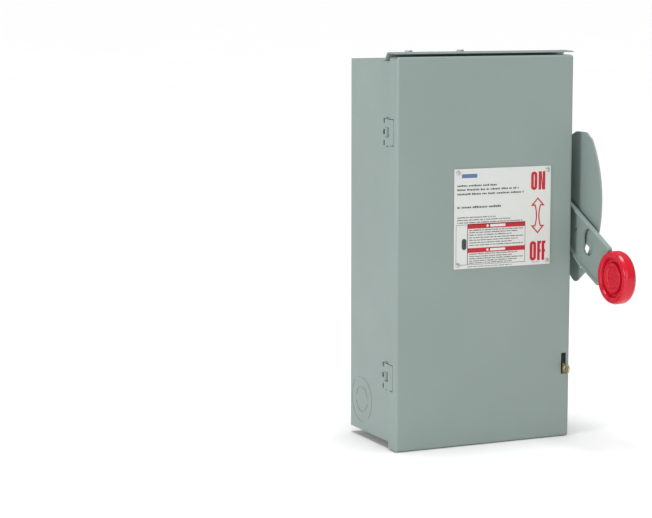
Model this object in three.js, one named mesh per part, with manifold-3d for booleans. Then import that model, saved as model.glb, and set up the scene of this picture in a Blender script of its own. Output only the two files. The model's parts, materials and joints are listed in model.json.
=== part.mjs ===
// Heavy-duty side-operated safety switch in a rainproof sheet-steel box, as used to isolate an outdoor unit.
// Millimetres. The origin is the centre of the box's back face: +X to the right, +Y into the wall, +Z up.
// Piece by piece: the box and its hood, the door on two hinges, the handle and its padlock quadrant,
// and inside, three fused poles with open blades, a door interlock and a spring latch.
import * as THREE from "three";
import { mergeVertices } from "three/addons/utils/BufferGeometryUtils.js";
import Module from "manifold-3d";

const wasm = await Module();
wasm.setup();

// ---- Driving dimensions ----

const CLEAR = 0.3; // between pieces that touch
const RUN = 0.3; // radial clearance of a pin or shaft in its hole
const FACETS = 24; // sides of a round bar

// Box
const boxWidth = 207.4;
const boxHeight = 408;
const sheet = 1.5;
const bend = 3; // outer bend radius
const endFlange = 12; // folded edge of the top and bottom walls
const mountHole = 4;
const mountInsetX = 14; // from the inner side walls
const mountInsetZ = 30; // from the ends

// Door
const overallDepth = 120; // wall to door face
const doorStandOff = 10; // side walls' front edge to the door's inner face
const doorFlange = 18;
const doorGapHinge = 0.9; // flange to side wall, hinge side
const doorGapLatch = 2.1;
const doorGapTop = 3;
const doorGapBottom = 6;

// Rain hood
const hoodOverhang = 1; // past the door at each side
const hoodSheet = 1.2;
const hoodRise = 9.2; // above the top wall
const hoodFoot = 11;
const hoodSlant = 7; // how far the upright leans forward
const hoodReach = 26; // upright's foot to the front lip
const hoodSetBack = 2.5; // front lip behind the door's face
const hoodFall = 0.8; // the visor's slope to the front

// Hub opening and its cover
const hubX = -9;
const hubY = -43;
const hubRadius = 24;
const hubPlateWidth = 80;
const hubPlateDepth = 66;
const hubPlateSheet = 2;
const hubScrewSpacingX = 64;
const hubScrewSpacingY = 53;
const hubScrewHead = 5.6;

// Hexagon-head screw
const screwRadius = 2.4;
const screwFlats = 8;
const screwHead = 4.5;
const screwLength = 8;

// Hinges
const hingeHeight = 27.5;
const hingeInsets = [75, 71.2]; // hinge centres from the top and from the bottom
const knuckleRadius = 3.1;
const pinRadius = 1.6;
const pinSetBack = 10.4; // pin behind the door's flange
const leafDepth = 19.5;
const leafGap = 0.8; // round the leaf, in the door's flange
const knuckleHeight = 10; // middle knuckle
const pinProud = 1.4;

// Knockouts on the walls
const knockoutRadii = [14, 25];
const knockoutGroove = 1.2;
const knockoutCut = 0.8;
const knockoutY = -31;
const knockoutRise = 34.5; // centre above the bottom wall
const endKnockoutX = [-50, 14];
const endKnockoutY = -55;

// Nameplate
const plateWidth = 118;
const plateHeight = 107.2;
const plateX = 20.6;
const plateZ = 35.7;
const plateSheet = 0.8;
const rivetInset = 4.2;
const rivetHead = 2.5;
const rivetShank = 1.2;

// Handle
const shaftY = -40;
const shaftZ = 50;
const shaftRadius = 8;
const leverLength = 175; // shaft to knob centre
const leverWidth = 50;
const leverDepth = 6;
const leverSheet = 2.2;
const leverStandOff = 8; // side wall to the lever's folded edges
const offAngle = 25.6; // below the horizontal
const throwAngle = 56;
const hubBoss = 14;
const tongueWidth = 26;
const knobRadius = 28.5;
const knobThickness = 14.6;
const slotLength = 30; // lever's padlock slot
const slotWidth = 22;
const slotInset = 7.2; // slot's centre inside the quadrant's rim
const slotRise = 4.6; // slot's centre above the lever's centreline
const sightHole = 2.2;
const sightRise = 3.4;
const sightToSlot = 28.8;
const flare = 50; // length over which the lever's lower edge widens
const flareRise = 8;
const widePart = 67; // widened part of the lever's lower edge, from the knob's centre
const shoulder = 127; // start of the lever's straight upper edge, from the knob's centre
const knobOverlap = 7.5; // lever over the knob's rim
const knobPinRadius = 2;

// Padlock quadrant
const knobToRim = 28.5; // knob to the quadrant's rim
const quadrantSheet = 2;
const quadrantGap = 2.8; // lever to quadrant
const rimTop = 35; // the round rim's ends, degrees above and below the horizontal
const rimBottom = 41;
const rimShoulder = [11.2, 6.8]; // rim's upper end to the top edge
const rimTopEdge = 20.9;
const rimChin = [22.2, 16.1]; // rim's lower end to the low corner
const quadrantHeel = 18; // shaft to the standing wall
const quadrantRoot = 64; // height of the standing wall
const quadrantFoot = 18; // depth of the flange on the side wall
const guardScrewInset = 14;
const padlockInset = 14; // quadrant's slot inside its rim
const padlockWidth = 9;
const padlockFrom = 28; // degrees below the horizontal
const padlockTo = 45;

// Poles
const polePitch = 42;
const poleMargin = 20; // outer poles to the ends of the bases
const baseThickness = 20.2;
const frameInset = 30.2; // mechanism frame from the inner side wall
const frameGap = 18; // bases to the mechanism frame
const frameFoot = 20;
const frameReach = 26; // frame's front edge past the shaft
const frameHalf = 28;
const barrier = 2;
const barrierFront = -58;
const stripThickness = 2;
const stripWidth = 18;
const bladeThickness = 3;
const bladeWidth = 14;
const bladeReach = 54;
const bladeTail = 8;
const rotorRatio = 1.3; // rotor turn per handle turn
const barReach = 26; // shaft axis to the middle of the crossbar
const barDepth = 20;
const barHeight = 14;
const armThickness = 4;
const armGap = 5.5; // driven arm to the mechanism frame
const drivenArm = 6;
const journalRadius = 5;
const journalGap = 8; // bases to the rotor's journal
const journalFoot = 14;
const journalReach = 20;
const journalHalf = 16;
const jawRise = 42; // shaft to the line jaws
const jawHeight = 14;
const lineStrip = 46; // height of a line terminal's strip
const lowerStrip = 36; // lower terminal's strip below its clip
const baseEnd = 4; // base past a strip's end
const lugHeight = 20;
const lugFront = -44;
const wireRadius = 6;
const lugScrewRadius = 4;
const fuseRadius = 14;
const fuseLength = 140;
const fuseDrop = 60; // shaft to the fuses' upper ends
const fuseStandOff = 5.7; // fuse to its strip
const ferrule = 25;
const clipSheet = 1.5;
const clipHeight = 16;
const clipInset = 4;

// Ground lug
const groundInset = 22.2; // from the inner side wall
const groundRise = 54; // above the bottom wall
const groundWidth = 14;
const groundDepth = 14.2;
const groundHeight = 18;
const groundTab = 12;
const groundWire = 3.5;

// Interlock
const crankReach = 18;
const crankPin = 2.5;
const crankThickness = 3;
const barThickness = 2.5;
const barInset = 15.7; // bar from the inner side wall
const fingerGap = 7.5; // finger to the door's inner face
const fingerWidth = 6;
const hookDrop = 40; // shaft to the hook
const hookLength = 10;
const hookPlate = 24;
const armDrop = 100; // shaft to the bar's arm
const armHeight = 10;
const neckReach = 14.5; // neck's front edge from the yoke's rear edge
const neckWidth = 8;
const yokeRise = [10, 9]; // yoke below and above the crank pin
const guideDrop = 62;
const guideHeight = 18;
const guideGap = 0.5;

// Latch
const latchPivotSetBack = 34; // pivot behind the door's face
const latchPivotRise = 69.5; // pivot above the bottom wall
const latchPinRadius = 2.5;
const latchThickness = 2;
const latchHeight = 11;
const latchInset = 4.8; // tongue from the inner side wall
const latchReach = 14; // past the door's face
const latchLift = 11; // room for the tongue to lift in its slot
const latchSlotGap = 1.5;
const latchSlotSide = 3.6;
const latchEye = 3.6;
const latchHeel = 7; // pivot to the tongue's rear end
const bracketHalf = [12, 16];

// ---- Derived places ----

const boxDepth = overallDepth - sheet - doorStandOff;
const wallX = boxWidth / 2;
const innerX = wallX - sheet;
const topZ = boxHeight / 2;
const doorLeft = -wallX - doorGapHinge - sheet;
const doorRight = wallX + doorGapLatch + sheet;
const doorTop = topZ + doorGapTop + sheet;
const doorBottom = -topZ - doorGapBottom - sheet;
const doorInner = -overallDepth + sheet;
const doorRear = -overallDepth + doorFlange;
const hingeZ = [topZ - hingeInsets[0], -topZ + hingeInsets[1]];
const pinX = doorLeft + knuckleRadius;
const pinY = doorRear + pinSetBack;
const leverInner = wallX + leverStandOff;
const leverOuter = leverInner + leverDepth;
const quadrantInner = leverOuter + quadrantGap;
const quadrantOuter = quadrantInner + quadrantSheet;
const quadrantRadius = leverLength - knobRadius - knobToRim;
const padlockReach = quadrantRadius - padlockInset;
const slotReach = quadrantRadius - slotInset;
const backFace = -sheet - CLEAR; // what stands on the back wall
const baseFront = backFace - baseThickness;
const frameX = innerX - frameInset;
const baseRight = frameX - frameGap;
const poleX = [2, 1, 0].map((step) => baseRight - poleMargin - step * polePitch);
const baseLeft = poleX[0] - poleMargin;
const stripBack = baseFront - CLEAR;
const stripFront = stripBack - stripThickness;
const fuseY = stripFront - fuseStandOff - fuseRadius;
const fuseTop = shaftZ - fuseDrop;
const barPlaneHigh = innerX - barInset;
const barPlaneLow = barPlaneHigh - barThickness;
const latchX = innerX - latchInset;
const latchPivotY = -overallDepth + latchPivotSetBack;
const latchPivotZ = -topZ + latchPivotRise;
const radians = THREE.MathUtils.degToRad;

// ---- Shape helpers ----

// A closed outline from corners [u, v, radius]; a corner with a radius becomes an arc of short steps.
function outline(corners) {
  const points = [];
  corners.forEach(([u, v, radius = 0], i) => {
    const corner = new THREE.Vector2(u, v);
    if (radius === 0) {
      points.push(corner);
      return;
    }
    const before = corners.at(i - 1);
    const after = corners[(i + 1) % corners.length];
    const toBefore = new THREE.Vector2(before[0] - u, before[1] - v).normalize();
    const toAfter = new THREE.Vector2(after[0] - u, after[1] - v).normalize();
    const half = Math.acos(THREE.MathUtils.clamp(toBefore.dot(toAfter), -1, 1)) / 2;
    const inward = toBefore.clone().add(toAfter).normalize();
    const centre = inward.multiplyScalar(radius / Math.sin(half)).add(corner);
    const start = toBefore.multiplyScalar(radius / Math.tan(half)).add(corner).sub(centre);
    const end = toAfter.multiplyScalar(radius / Math.tan(half)).add(corner).sub(centre);
    const turn = Math.atan2(start.cross(end), start.dot(end));
    const steps = Math.max(2, Math.ceil(Math.abs(turn) / 0.45));
    for (let k = 0; k <= steps; k += 1) {
      points.push(start.clone().rotateAround(new THREE.Vector2(), (turn * k) / steps).add(centre));
    }
  });
  return new THREE.Shape(points);
}

// Points on a circle about (u, v), from one angle to another in degrees.
function arc(u, v, radius, from, to, steps) {
  return Array.from({ length: steps + 1 }, (_, k) => {
    const angle = radians(from + ((to - from) * k) / steps);
    return [u + radius * Math.cos(angle), v + radius * Math.sin(angle)];
  });
}

// A geometry as a solid that can be joined and cut.
function solid(geometry) {
  const bare = geometry.clone();
  bare.deleteAttribute("normal");
  bare.deleteAttribute("uv");
  const merged = mergeVertices(bare, 1e-4);
  return new wasm.Manifold(
    new wasm.Mesh({
      numProp: 3,
      vertProperties: merged.attributes.position.array,
      triVerts: new Uint32Array(merged.index.array),
    }),
  );
}

function extruded(shape, depth, matrix) {
  const geometry = new THREE.ExtrudeGeometry(shape, { depth, bevelEnabled: false, steps: 1 });
  return solid(geometry.applyMatrix4(matrix));
}

// An outline drawn in (y, z), run along X.
function alongX(shape, x0, x1) {
  const axes = new THREE.Matrix4().makeBasis(
    new THREE.Vector3(0, 1, 0),
    new THREE.Vector3(0, 0, 1),
    new THREE.Vector3(1, 0, 0),
  );
  return extruded(shape, x1 - x0, axes.setPosition(x0, 0, 0));
}

// An outline drawn in (x, z), run along Y.
function alongY(shape, y0, y1) {
  const axes = new THREE.Matrix4().makeRotationX(Math.PI / 2);
  return extruded(shape, y1 - y0, axes.setPosition(0, y1, 0));
}

// An outline drawn in (x, y), run along Z.
function alongZ(shape, z0, z1) {
  return extruded(shape, z1 - z0, new THREE.Matrix4().setPosition(0, 0, z0));
}

function block(x0, x1, y0, y1, z0, z1) {
  const geometry = new THREE.BoxGeometry(x1 - x0, y1 - y0, z1 - z0);
  return solid(geometry.translate((x0 + x1) / 2, (y0 + y1) / 2, (z0 + z1) / 2));
}

// A round bar along an axis, through the point (u, v) of the plane square to it.
function rod(axis, radius, from, to, u, v, sides = FACETS) {
  const geometry = new THREE.CylinderGeometry(radius, radius, to - from, sides);
  const middle = (from + to) / 2;
  if (axis === "x") return solid(geometry.rotateZ(-Math.PI / 2).translate(middle, u, v));
  if (axis === "y") return solid(geometry.translate(u, middle, v));
  return solid(geometry.rotateX(Math.PI / 2).translate(u, v, middle));
}

// A turned piece: profile of [radius, height] about Z.
function turned(profile, sides = FACETS) {
  const points = profile.map(([radius, height]) => new THREE.Vector2(radius, height));
  return solid(new THREE.LatheGeometry(points, sides).rotateX(Math.PI / 2));
}

function rectangle(u0, u1, v0, v1, radius = 0) {
  return outline([
    [u0, v0, radius],
    [u1, v0, radius],
    [u1, v1, radius],
    [u0, v1, radius],
  ]);
}

function joined(...solids) {
  return solids.reduce((sum, next) => sum.add(next));
}

function cut(body, ...tools) {
  return tools.reduce((left, tool) => left.subtract(tool), body);
}

// A folded pan, open towards +Y, with rounded front edges on all four sides.
function pan(x0, x1, z0, z1, front, rear, wall, radius) {
  const shell = (inset, r, open) => {
    const plan = outline([
      [x0 + inset, front + inset, r],
      [x1 - inset, front + inset, r],
      [x1 - inset, rear + open],
      [x0 + inset, rear + open],
    ]);
    const side = outline([
      [front + inset, z0 + inset, r],
      [rear + open, z0 + inset],
      [rear + open, z1 - inset],
      [front + inset, z1 - inset, r],
    ]);
    return alongZ(plan, z0 + inset, z1 - inset).intersect(alongX(side, x0 + inset, x1 - inset));
  };
  return shell(0, radius, 0).subtract(shell(wall, radius - wall, 1));
}

// Two broken rings scored round a knockout, as outlines about (u, v).
function knockoutRings(u, v) {
  return knockoutRadii.flatMap((radius, ring) =>
    [0, 180].map((start) => {
      const from = start + 12 + ring * 60;
      const to = from + 156;
      const outer = arc(u, v, radius + knockoutGroove / 2, from, to, 10);
      const inner = arc(u, v, radius - knockoutGroove / 2, to, from, 10);
      return outline([...outer, ...inner]);
    }),
  );
}

// ---- Scene graph ----

const group = new THREE.Group();
group.name = "safety_switch";

const finishes = {
  paint: { color: 0x9aa7a4, roughness: 0.5, metalness: 0.1 },
  zinc: { color: 0xb9bcbc, roughness: 0.35, metalness: 0.9 },
  yellowZinc: { color: 0xb59a58, roughness: 0.35, metalness: 0.8 },
  plate: { color: 0xd9dbd6, roughness: 0.4, metalness: 0.1 },
  red: { color: 0xc01f34, roughness: 0.4, metalness: 0 },
  copper: { color: 0xc9c2b4, roughness: 0.35, metalness: 0.9 },
  phenolic: { color: 0x2a2725, roughness: 0.6, metalness: 0 },
  fuse: { color: 0xc7b48a, roughness: 0.6, metalness: 0 },
};

// A solid as a named mesh in its finish, added to a group.
function place(parent, name, body, finish) {
  const { vertProperties, triVerts } = body.getMesh();
  const geometry = new THREE.BufferGeometry();
  geometry.setAttribute("position", new THREE.BufferAttribute(new Float32Array(vertProperties), 3));
  geometry.setIndex(new THREE.BufferAttribute(new Uint32Array(triVerts), 1));
  geometry.computeVertexNormals();
  const material = new THREE.MeshStandardMaterial({ ...finishes[finish], flatShading: true });
  const mesh = new THREE.Mesh(geometry, material);
  mesh.name = name;
  parent.add(mesh);
  return mesh;
}

// ---- Box ----

const slotHalf = hingeHeight / 2 + pinProud + 0.5;
const slotFront = pinY - knuckleRadius - 1.1;
const slotRear = pinY + knuckleRadius + 1.3;
const hingeSlots = hingeZ.map((z) =>
  block(-wallX - 1, -innerX + 1, slotFront, slotRear, z - slotHalf, z + slotHalf),
);
const sideKnockoutZ = -topZ + knockoutRise;
const sideKnockouts = knockoutRings(knockoutY, sideKnockoutZ).flatMap((ring) => [
  alongX(ring, -wallX - 1, -wallX + knockoutCut),
  alongX(ring, wallX - knockoutCut, wallX + 1),
]);
const mountHoles = [
  [0, topZ - mountInsetZ],
  [-innerX + mountInsetX, -topZ + mountInsetZ],
  [innerX - mountInsetX, -topZ + mountInsetZ],
].map(([x, z]) => rod("y", mountHole, -sheet - 1, 1, x, z));
const bushingRadius = shaftRadius + RUN + 2;
const footLow = shaftZ - quadrantRoot / 2;
const footHigh = shaftZ + quadrantRoot / 2;
const heelY = shaftY + quadrantHeel;
const footRear = heelY + quadrantFoot;
const guardScrewY = (heelY + footRear) / 2;
const guardScrewZ = [footHigh - guardScrewInset, footLow + guardScrewInset];
const guardScrewHoles = guardScrewZ.map((z) =>
  rod("x", screwRadius + RUN, innerX - 1, wallX + 5, guardScrewY, z),
);

const wrapperPlan = outline([
  [-wallX, -boxDepth],
  [-innerX, -boxDepth],
  [-innerX, -sheet, bend - sheet],
  [innerX, -sheet, bend - sheet],
  [innerX, -boxDepth],
  [wallX, -boxDepth],
  [wallX, 0, bend],
  [-wallX, 0, bend],
]);
place(
  group,
  "enclosure_wrapper",
  cut(
    alongZ(wrapperPlan, -topZ, topZ),
    ...hingeSlots,
    ...sideKnockouts,
    ...mountHoles,
    ...guardScrewHoles,
    rod("x", bushingRadius + RUN, innerX - 1, wallX + 1, shaftY, shaftZ),
  ),
  "paint",
);

// The top and bottom walls are folded pans that sit flush between the side walls.
function endWall(outer, inner) {
  const edgeX = innerX - CLEAR;
  const rear = -sheet - CLEAR;
  const low = Math.min(outer, inner);
  const high = Math.max(outer, inner);
  const skin = outer > inner ? [low - 1, high - sheet] : [low + sheet, high + 1];
  const outerPlan = outline([
    [-edgeX, -boxDepth],
    [edgeX, -boxDepth],
    [edgeX, rear, bend],
    [-edgeX, rear, bend],
  ]);
  return cut(
    alongZ(outerPlan, low, high),
    block(-edgeX + sheet, edgeX - sheet, -boxDepth + sheet, rear - sheet, ...skin),
  );
}

const hubScrews = [-1, 1].flatMap((sx) =>
  [-1, 1].map((sy) => [hubX + (sx * hubScrewSpacingX) / 2, hubY + (sy * hubScrewSpacingY) / 2]),
);
const hubScrewHoles = hubScrews.map(([x, y]) => rod("z", screwRadius + RUN, topZ - sheet - 1, topZ + 9, x, y));
place(
  group,
  "top_endwall",
  cut(
    endWall(topZ, topZ - endFlange),
    rod("z", hubRadius, topZ - sheet - 1, topZ + 1, hubX, hubY, 32),
    ...hubScrewHoles,
  ),
  "paint",
);
const bottomRings = endKnockoutX.flatMap((x) =>
  knockoutRings(x, endKnockoutY).map((ring) => alongZ(ring, -topZ - 1, -topZ + knockoutCut)),
);
place(group, "bottom_endwall", cut(endWall(-topZ, -topZ + endFlange), ...bottomRings), "paint");

// ---- Rain hood: a foot on the top wall, a leaning upright and a visor ----

const hoodBase = topZ + CLEAR;
const visorTop = topZ + hoodRise;
const visorFront = -overallDepth + hoodSetBack;
const visorBend = hoodSheet * 0.4;
const hoodRear = visorFront + hoodReach;
const hoodSide = outline([
  [hoodRear + hoodFoot, hoodBase],
  [hoodRear + hoodFoot, hoodBase + hoodSheet],
  [hoodRear, hoodBase + hoodSheet],
  [hoodRear - hoodSlant + visorBend, visorTop],
  [visorFront, visorTop - hoodFall],
  [visorFront, visorTop - hoodFall - hoodSheet],
  [hoodRear - hoodSlant - visorBend, visorTop - hoodSheet],
  [hoodRear - hoodSheet, hoodBase],
]);
place(group, "rain_hood", alongX(hoodSide, doorLeft - hoodOverhang, doorRight + hoodOverhang), "paint");

// ---- Hub cover plate and its screws ----

const hubPlateZ = topZ + CLEAR;
const hubPlateTop = hubPlateZ + hubPlateSheet;
const hubPlate = alongZ(
  rectangle(
    hubX - hubPlateWidth / 2,
    hubX + hubPlateWidth / 2,
    hubY - hubPlateDepth / 2,
    hubY + hubPlateDepth / 2,
    5,
  ),
  hubPlateZ,
  hubPlateTop,
);
const hubDome = turned([
  [0, hubPlateTop - 0.5],
  [hubRadius + 2, hubPlateTop - 0.5],
  [hubRadius - 2, hubPlateTop + 2.2],
  [0, hubPlateTop + 2.2],
]).translate([hubX, hubY, 0]);
const hubHollow = turned([
  [0, hubPlateZ - 1],
  [hubRadius - 1, hubPlateZ - 1],
  [hubRadius - 4, hubPlateTop + 0.7],
  [0, hubPlateTop + 0.7],
]).translate([hubX, hubY, 0]);
const hubCover = cut(joined(hubPlate, hubDome), hubHollow, ...hubScrewHoles);

// A hexagon-head screw that stands on z = 0 with its shank below; the washer face is part of the head.
function hexScrew(head) {
  return joined(
    rod("z", screwRadius, -screwLength, 0.5, 0, 0, 12),
    rod("z", screwFlats / Math.sqrt(3), 1, head, 0, 0, 6),
    rod("z", screwFlats / Math.sqrt(3) + 0.9, 0, 1.1, 0, 0, 18),
  );
}

place(group, "hub_cover_plate", hubCover, "paint");
hubScrews.forEach(([x, y], i) => {
  const screw = place(group, `hub_screw_${i + 1}`, hexScrew(hubScrewHead), "zinc");
  screw.position.set(x, y, hubPlateTop + CLEAR);
});

// ---- Hinges: middle knuckle and pin on the box, leaf with the outer knuckles on the door ----

const barrelBore = rod("z", pinRadius + RUN, -hingeHeight, hingeHeight, pinX, pinY, 20);
const strapInner = pinX + knuckleRadius;
const boxKnuckle = cut(
  joined(
    rod("z", knuckleRadius, -knuckleHeight / 2, knuckleHeight / 2, pinX, pinY, 20),
    block(-innerX + CLEAR, strapInner, pinY, pinY + 12, -knuckleHeight / 2, knuckleHeight / 2),
    block(-innerX + CLEAR, strapInner, pinY + 6, pinY + 26, -12, 12),
  ),
  barrelBore,
);
const leafFront = pinY - leafDepth;
const doorLeaf = cut(
  joined(
    alongX(
      outline([
        [leafFront, -hingeHeight / 2, 1.5],
        [pinY, -hingeHeight / 2],
        [pinY, hingeHeight / 2],
        [leafFront, hingeHeight / 2, 1.5],
      ]),
      doorLeft,
      doorLeft + sheet,
    ),
    rod("z", knuckleRadius, -hingeHeight / 2, hingeHeight / 2, pinX, pinY, 20),
  ),
  barrelBore,
  block(
    doorLeft - 1,
    strapInner + 1,
    pinY - knuckleRadius - 0.6,
    pinY + knuckleRadius + 1,
    -knuckleHeight / 2 - CLEAR,
    knuckleHeight / 2 + CLEAR,
  ),
);
const hingePin = turned([
  [0, -hingeHeight / 2 - pinProud],
  [pinRadius - 0.5, -hingeHeight / 2 - pinProud],
  [pinRadius, -hingeHeight / 2 - pinProud + 0.5],
  [pinRadius, hingeHeight / 2 + CLEAR],
  [pinRadius + 0.9, hingeHeight / 2 + CLEAR],
  [pinRadius + 0.6, hingeHeight / 2 + pinProud],
  [0, hingeHeight / 2 + pinProud],
], 20).translate([pinX, pinY, 0]);
["upper", "lower"].forEach((which, i) => {
  place(group, `hinge_knuckle_${which}`, boxKnuckle, "zinc").position.z = hingeZ[i];
  place(group, `hinge_pin_${which}`, hingePin, "zinc").position.z = hingeZ[i];
});

// ---- Door ----

const leafNotches = hingeZ.map((z) =>
  block(
    doorLeft - 1,
    doorLeft + sheet + 1,
    leafFront - leafGap,
    doorRear + 1,
    z - hingeHeight / 2 - leafGap,
    z + hingeHeight / 2 + leafGap,
  ),
);
const rivets = [-1, 1].flatMap((sx) =>
  [-1, 1].map((sz) => [
    plateX + sx * (plateWidth / 2 - rivetInset),
    plateZ + sz * (plateHeight / 2 - rivetInset),
  ]),
);
const plateFront = -overallDepth - CLEAR - plateSheet;
const rivetHoles = rivets.map(([x, z]) => rod("y", rivetShank + RUN, plateFront - 1, doorInner + 1, x, z, 16));
const latchSlot = alongY(
  rectangle(
    latchX - 1,
    latchX + latchThickness + latchSlotSide,
    latchPivotZ - latchHeight / 2 - latchSlotGap,
    latchPivotZ + latchHeight / 2 + latchLift,
    1,
  ),
  -overallDepth - 1,
  doorInner + 1,
);
place(
  group,
  "door_pan",
  cut(
    pan(doorLeft, doorRight, doorBottom, doorTop, -overallDepth, doorRear, sheet, bend),
    ...leafNotches,
    ...rivetHoles,
    latchSlot,
  ),
  "paint",
);
["upper", "lower"].forEach((which, i) => {
  place(group, `hinge_leaf_${which}`, doorLeaf, "paint").position.z = hingeZ[i];
});
const nameplate = alongY(
  rectangle(
    plateX - plateWidth / 2,
    plateX + plateWidth / 2,
    plateZ - plateHeight / 2,
    plateZ + plateHeight / 2,
    3,
  ),
  plateFront,
  plateFront + plateSheet,
);
place(group, "nameplate", cut(nameplate, ...rivetHoles), "plate");
const rivet = turned([
  [0, -rivetHead / 2],
  [rivetHead * 0.6, -rivetHead * 0.45],
  [rivetHead, 0],
  [rivetShank, 0],
  [rivetShank, 4],
  [0, 4],
], 12).rotate([-90, 0, 0]);
rivets.forEach(([x, z], i) => {
  place(group, `nameplate_rivet_${i + 1}`, rivet, "zinc").position.set(x, plateFront - CLEAR, z);
});

// ---- Handle: shaft with its crank, lever, retaining ring and knob, turned down to OFF ----

const handle = new THREE.Group();
handle.position.set(0, shaftY, shaftZ);
handle.rotation.x = radians(offAngle);
group.add(handle);

const crankAngle = offAngle - throwAngle / 2;
const crankY = -crankReach * Math.cos(radians(crankAngle));
const crankZ = crankReach * Math.sin(radians(crankAngle));
const crankPlane = barPlaneHigh + 1.5;
const armRight = frameX - armGap;
const shaftEnd = quadrantInner - 0.7;
place(
  handle,
  "handle_shaft",
  joined(
    rod("x", shaftRadius, armRight - drivenArm - CLEAR, shaftEnd, 0, 0),
    rod("x", crankReach + 4, crankPlane, crankPlane + crankThickness, 0, 0),
    rod("x", crankPin, barPlaneLow - CLEAR, crankPlane + 1, crankY, crankZ, 20),
  ),
  "zinc",
);

const half = leverWidth / 2;
const leverEnd = leverLength - knobRadius + knobOverlap;
const wideFrom = leverLength - widePart;
const sightReach = slotReach - sightToSlot;
function leverOutline(inset) {
  return outline([
    [hubBoss - inset, -(hubBoss - inset), hubBoss - inset - 1],
    [-wideFrom + flare, -half + flareRise + inset, 12],
    [-wideFrom, -half + inset, 12],
    [-leverEnd + inset, -half + inset, 4],
    [-leverEnd + inset, half - 2 - inset, 4],
    [-(leverLength - shoulder), half - inset, 14],
    [hubBoss - inset, hubBoss - inset, hubBoss - inset - 1],
  ]);
}
const padlockSlot = alongX(
  rectangle(-slotWidth / 2, slotWidth / 2, -slotLength / 2, slotLength / 2, slotWidth / 2 - 0.01),
  leverInner - 1,
  leverOuter + 1,
)
  .rotate([-offAngle, 0, 0])
  .translate([0, -slotReach, slotRise]);
const knobSocket = rod("x", knobRadius + 0.5, leverInner - 1, leverOuter + 1, -leverLength, 0, 32);
const leverWeb = leverOuter - leverSheet;
const sight = rod("x", sightHole, leverInner - 1, leverOuter + 1, -sightReach, sightRise, 16);
const knobPinHole = rod("x", knobPinRadius + RUN, leverInner - 1, leverOuter + 1, -leverLength, 0, 16);
const lever = cut(
  joined(
    cut(
      alongX(leverOutline(0), leverInner, leverOuter),
      alongX(leverOutline(leverSheet), leverInner - 1, leverWeb),
      knobSocket,
    ),
    block(leverWeb, leverOuter, -leverLength - 5, -leverEnd + 20, -tongueWidth / 2, tongueWidth / 2),
    rod("x", hubBoss - 1, wallX + 2 + CLEAR + 0.5, leverOuter, 0, 0),
  ),
  rod("x", shaftRadius + RUN, wallX, leverOuter + 1, 0, 0),
  padlockSlot,
  sight,
  knobPinHole,
);
place(handle, "handle_lever", lever, "paint");
place(
  handle,
  "shaft_retainer",
  cut(
    rod("x", shaftRadius + 3, leverOuter + CLEAR, leverOuter + CLEAR + 1.4, 0, 0),
    rod("x", shaftRadius + 0.1, leverOuter, leverOuter + 3, 0, 0),
  ),
  "zinc",
);

// The knob is turned about X, the same on both faces: rim, groove, raised ring and dished centre.
const knobHalf = knobThickness / 2;
const knobFace = [
  [0, knobHalf - 2.5],
  [knobRadius - 17.5, knobHalf - 2.3],
  [knobRadius - 15.9, knobHalf - 1],
  [knobRadius - 12.5, knobHalf - 1],
  [knobRadius - 10.9, knobHalf - 2.8],
  [knobRadius - 8.5, knobHalf - 2.8],
  [knobRadius - 6.9, knobHalf],
  [knobRadius - 3, knobHalf],
  [knobRadius - 0.7, knobHalf - 2],
  [knobRadius, knobHalf - 4],
];
const knobProfile = [
  ...knobFace.map(([radius, height]) => [radius, -height]),
  ...knobFace.toReversed(),
];
const knobX = (leverWeb + leverOuter) / 2;
const knobBody = turned(knobProfile, 32).rotate([0, 90, 0]).translate([knobX, -leverLength, 0]);
const tongueSlot = block(
  leverWeb - CLEAR,
  leverOuter + CLEAR,
  -leverLength - 5 - CLEAR,
  -leverLength + knobRadius + 1,
  -tongueWidth / 2 - CLEAR,
  tongueWidth / 2 + CLEAR,
);
const pinReach = knobHalf - 3.5;
place(
  handle,
  "handle_knob",
  cut(
    knobBody,
    tongueSlot,
    rod("x", knobPinRadius + RUN, knobX - pinReach, knobX + pinReach, -leverLength, 0, 16),
  ),
  "red",
);
place(
  handle,
  "knob_pin",
  rod("x", knobPinRadius, knobX - pinReach + CLEAR, knobX + pinReach - CLEAR, -leverLength, 0, 16),
  "zinc",
);

// ---- Bushing, padlock quadrant and its screws ----

place(
  group,
  "shaft_bushing",
  cut(
    joined(
      rod("x", bushingRadius + 4, wallX + CLEAR, wallX + 2, shaftY, shaftZ),
      rod("x", bushingRadius, innerX - 5, wallX + 1, shaftY, shaftZ),
    ),
    rod("x", shaftRadius + RUN, innerX - 6, wallX + 3, shaftY, shaftZ),
  ),
  "zinc",
);

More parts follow.
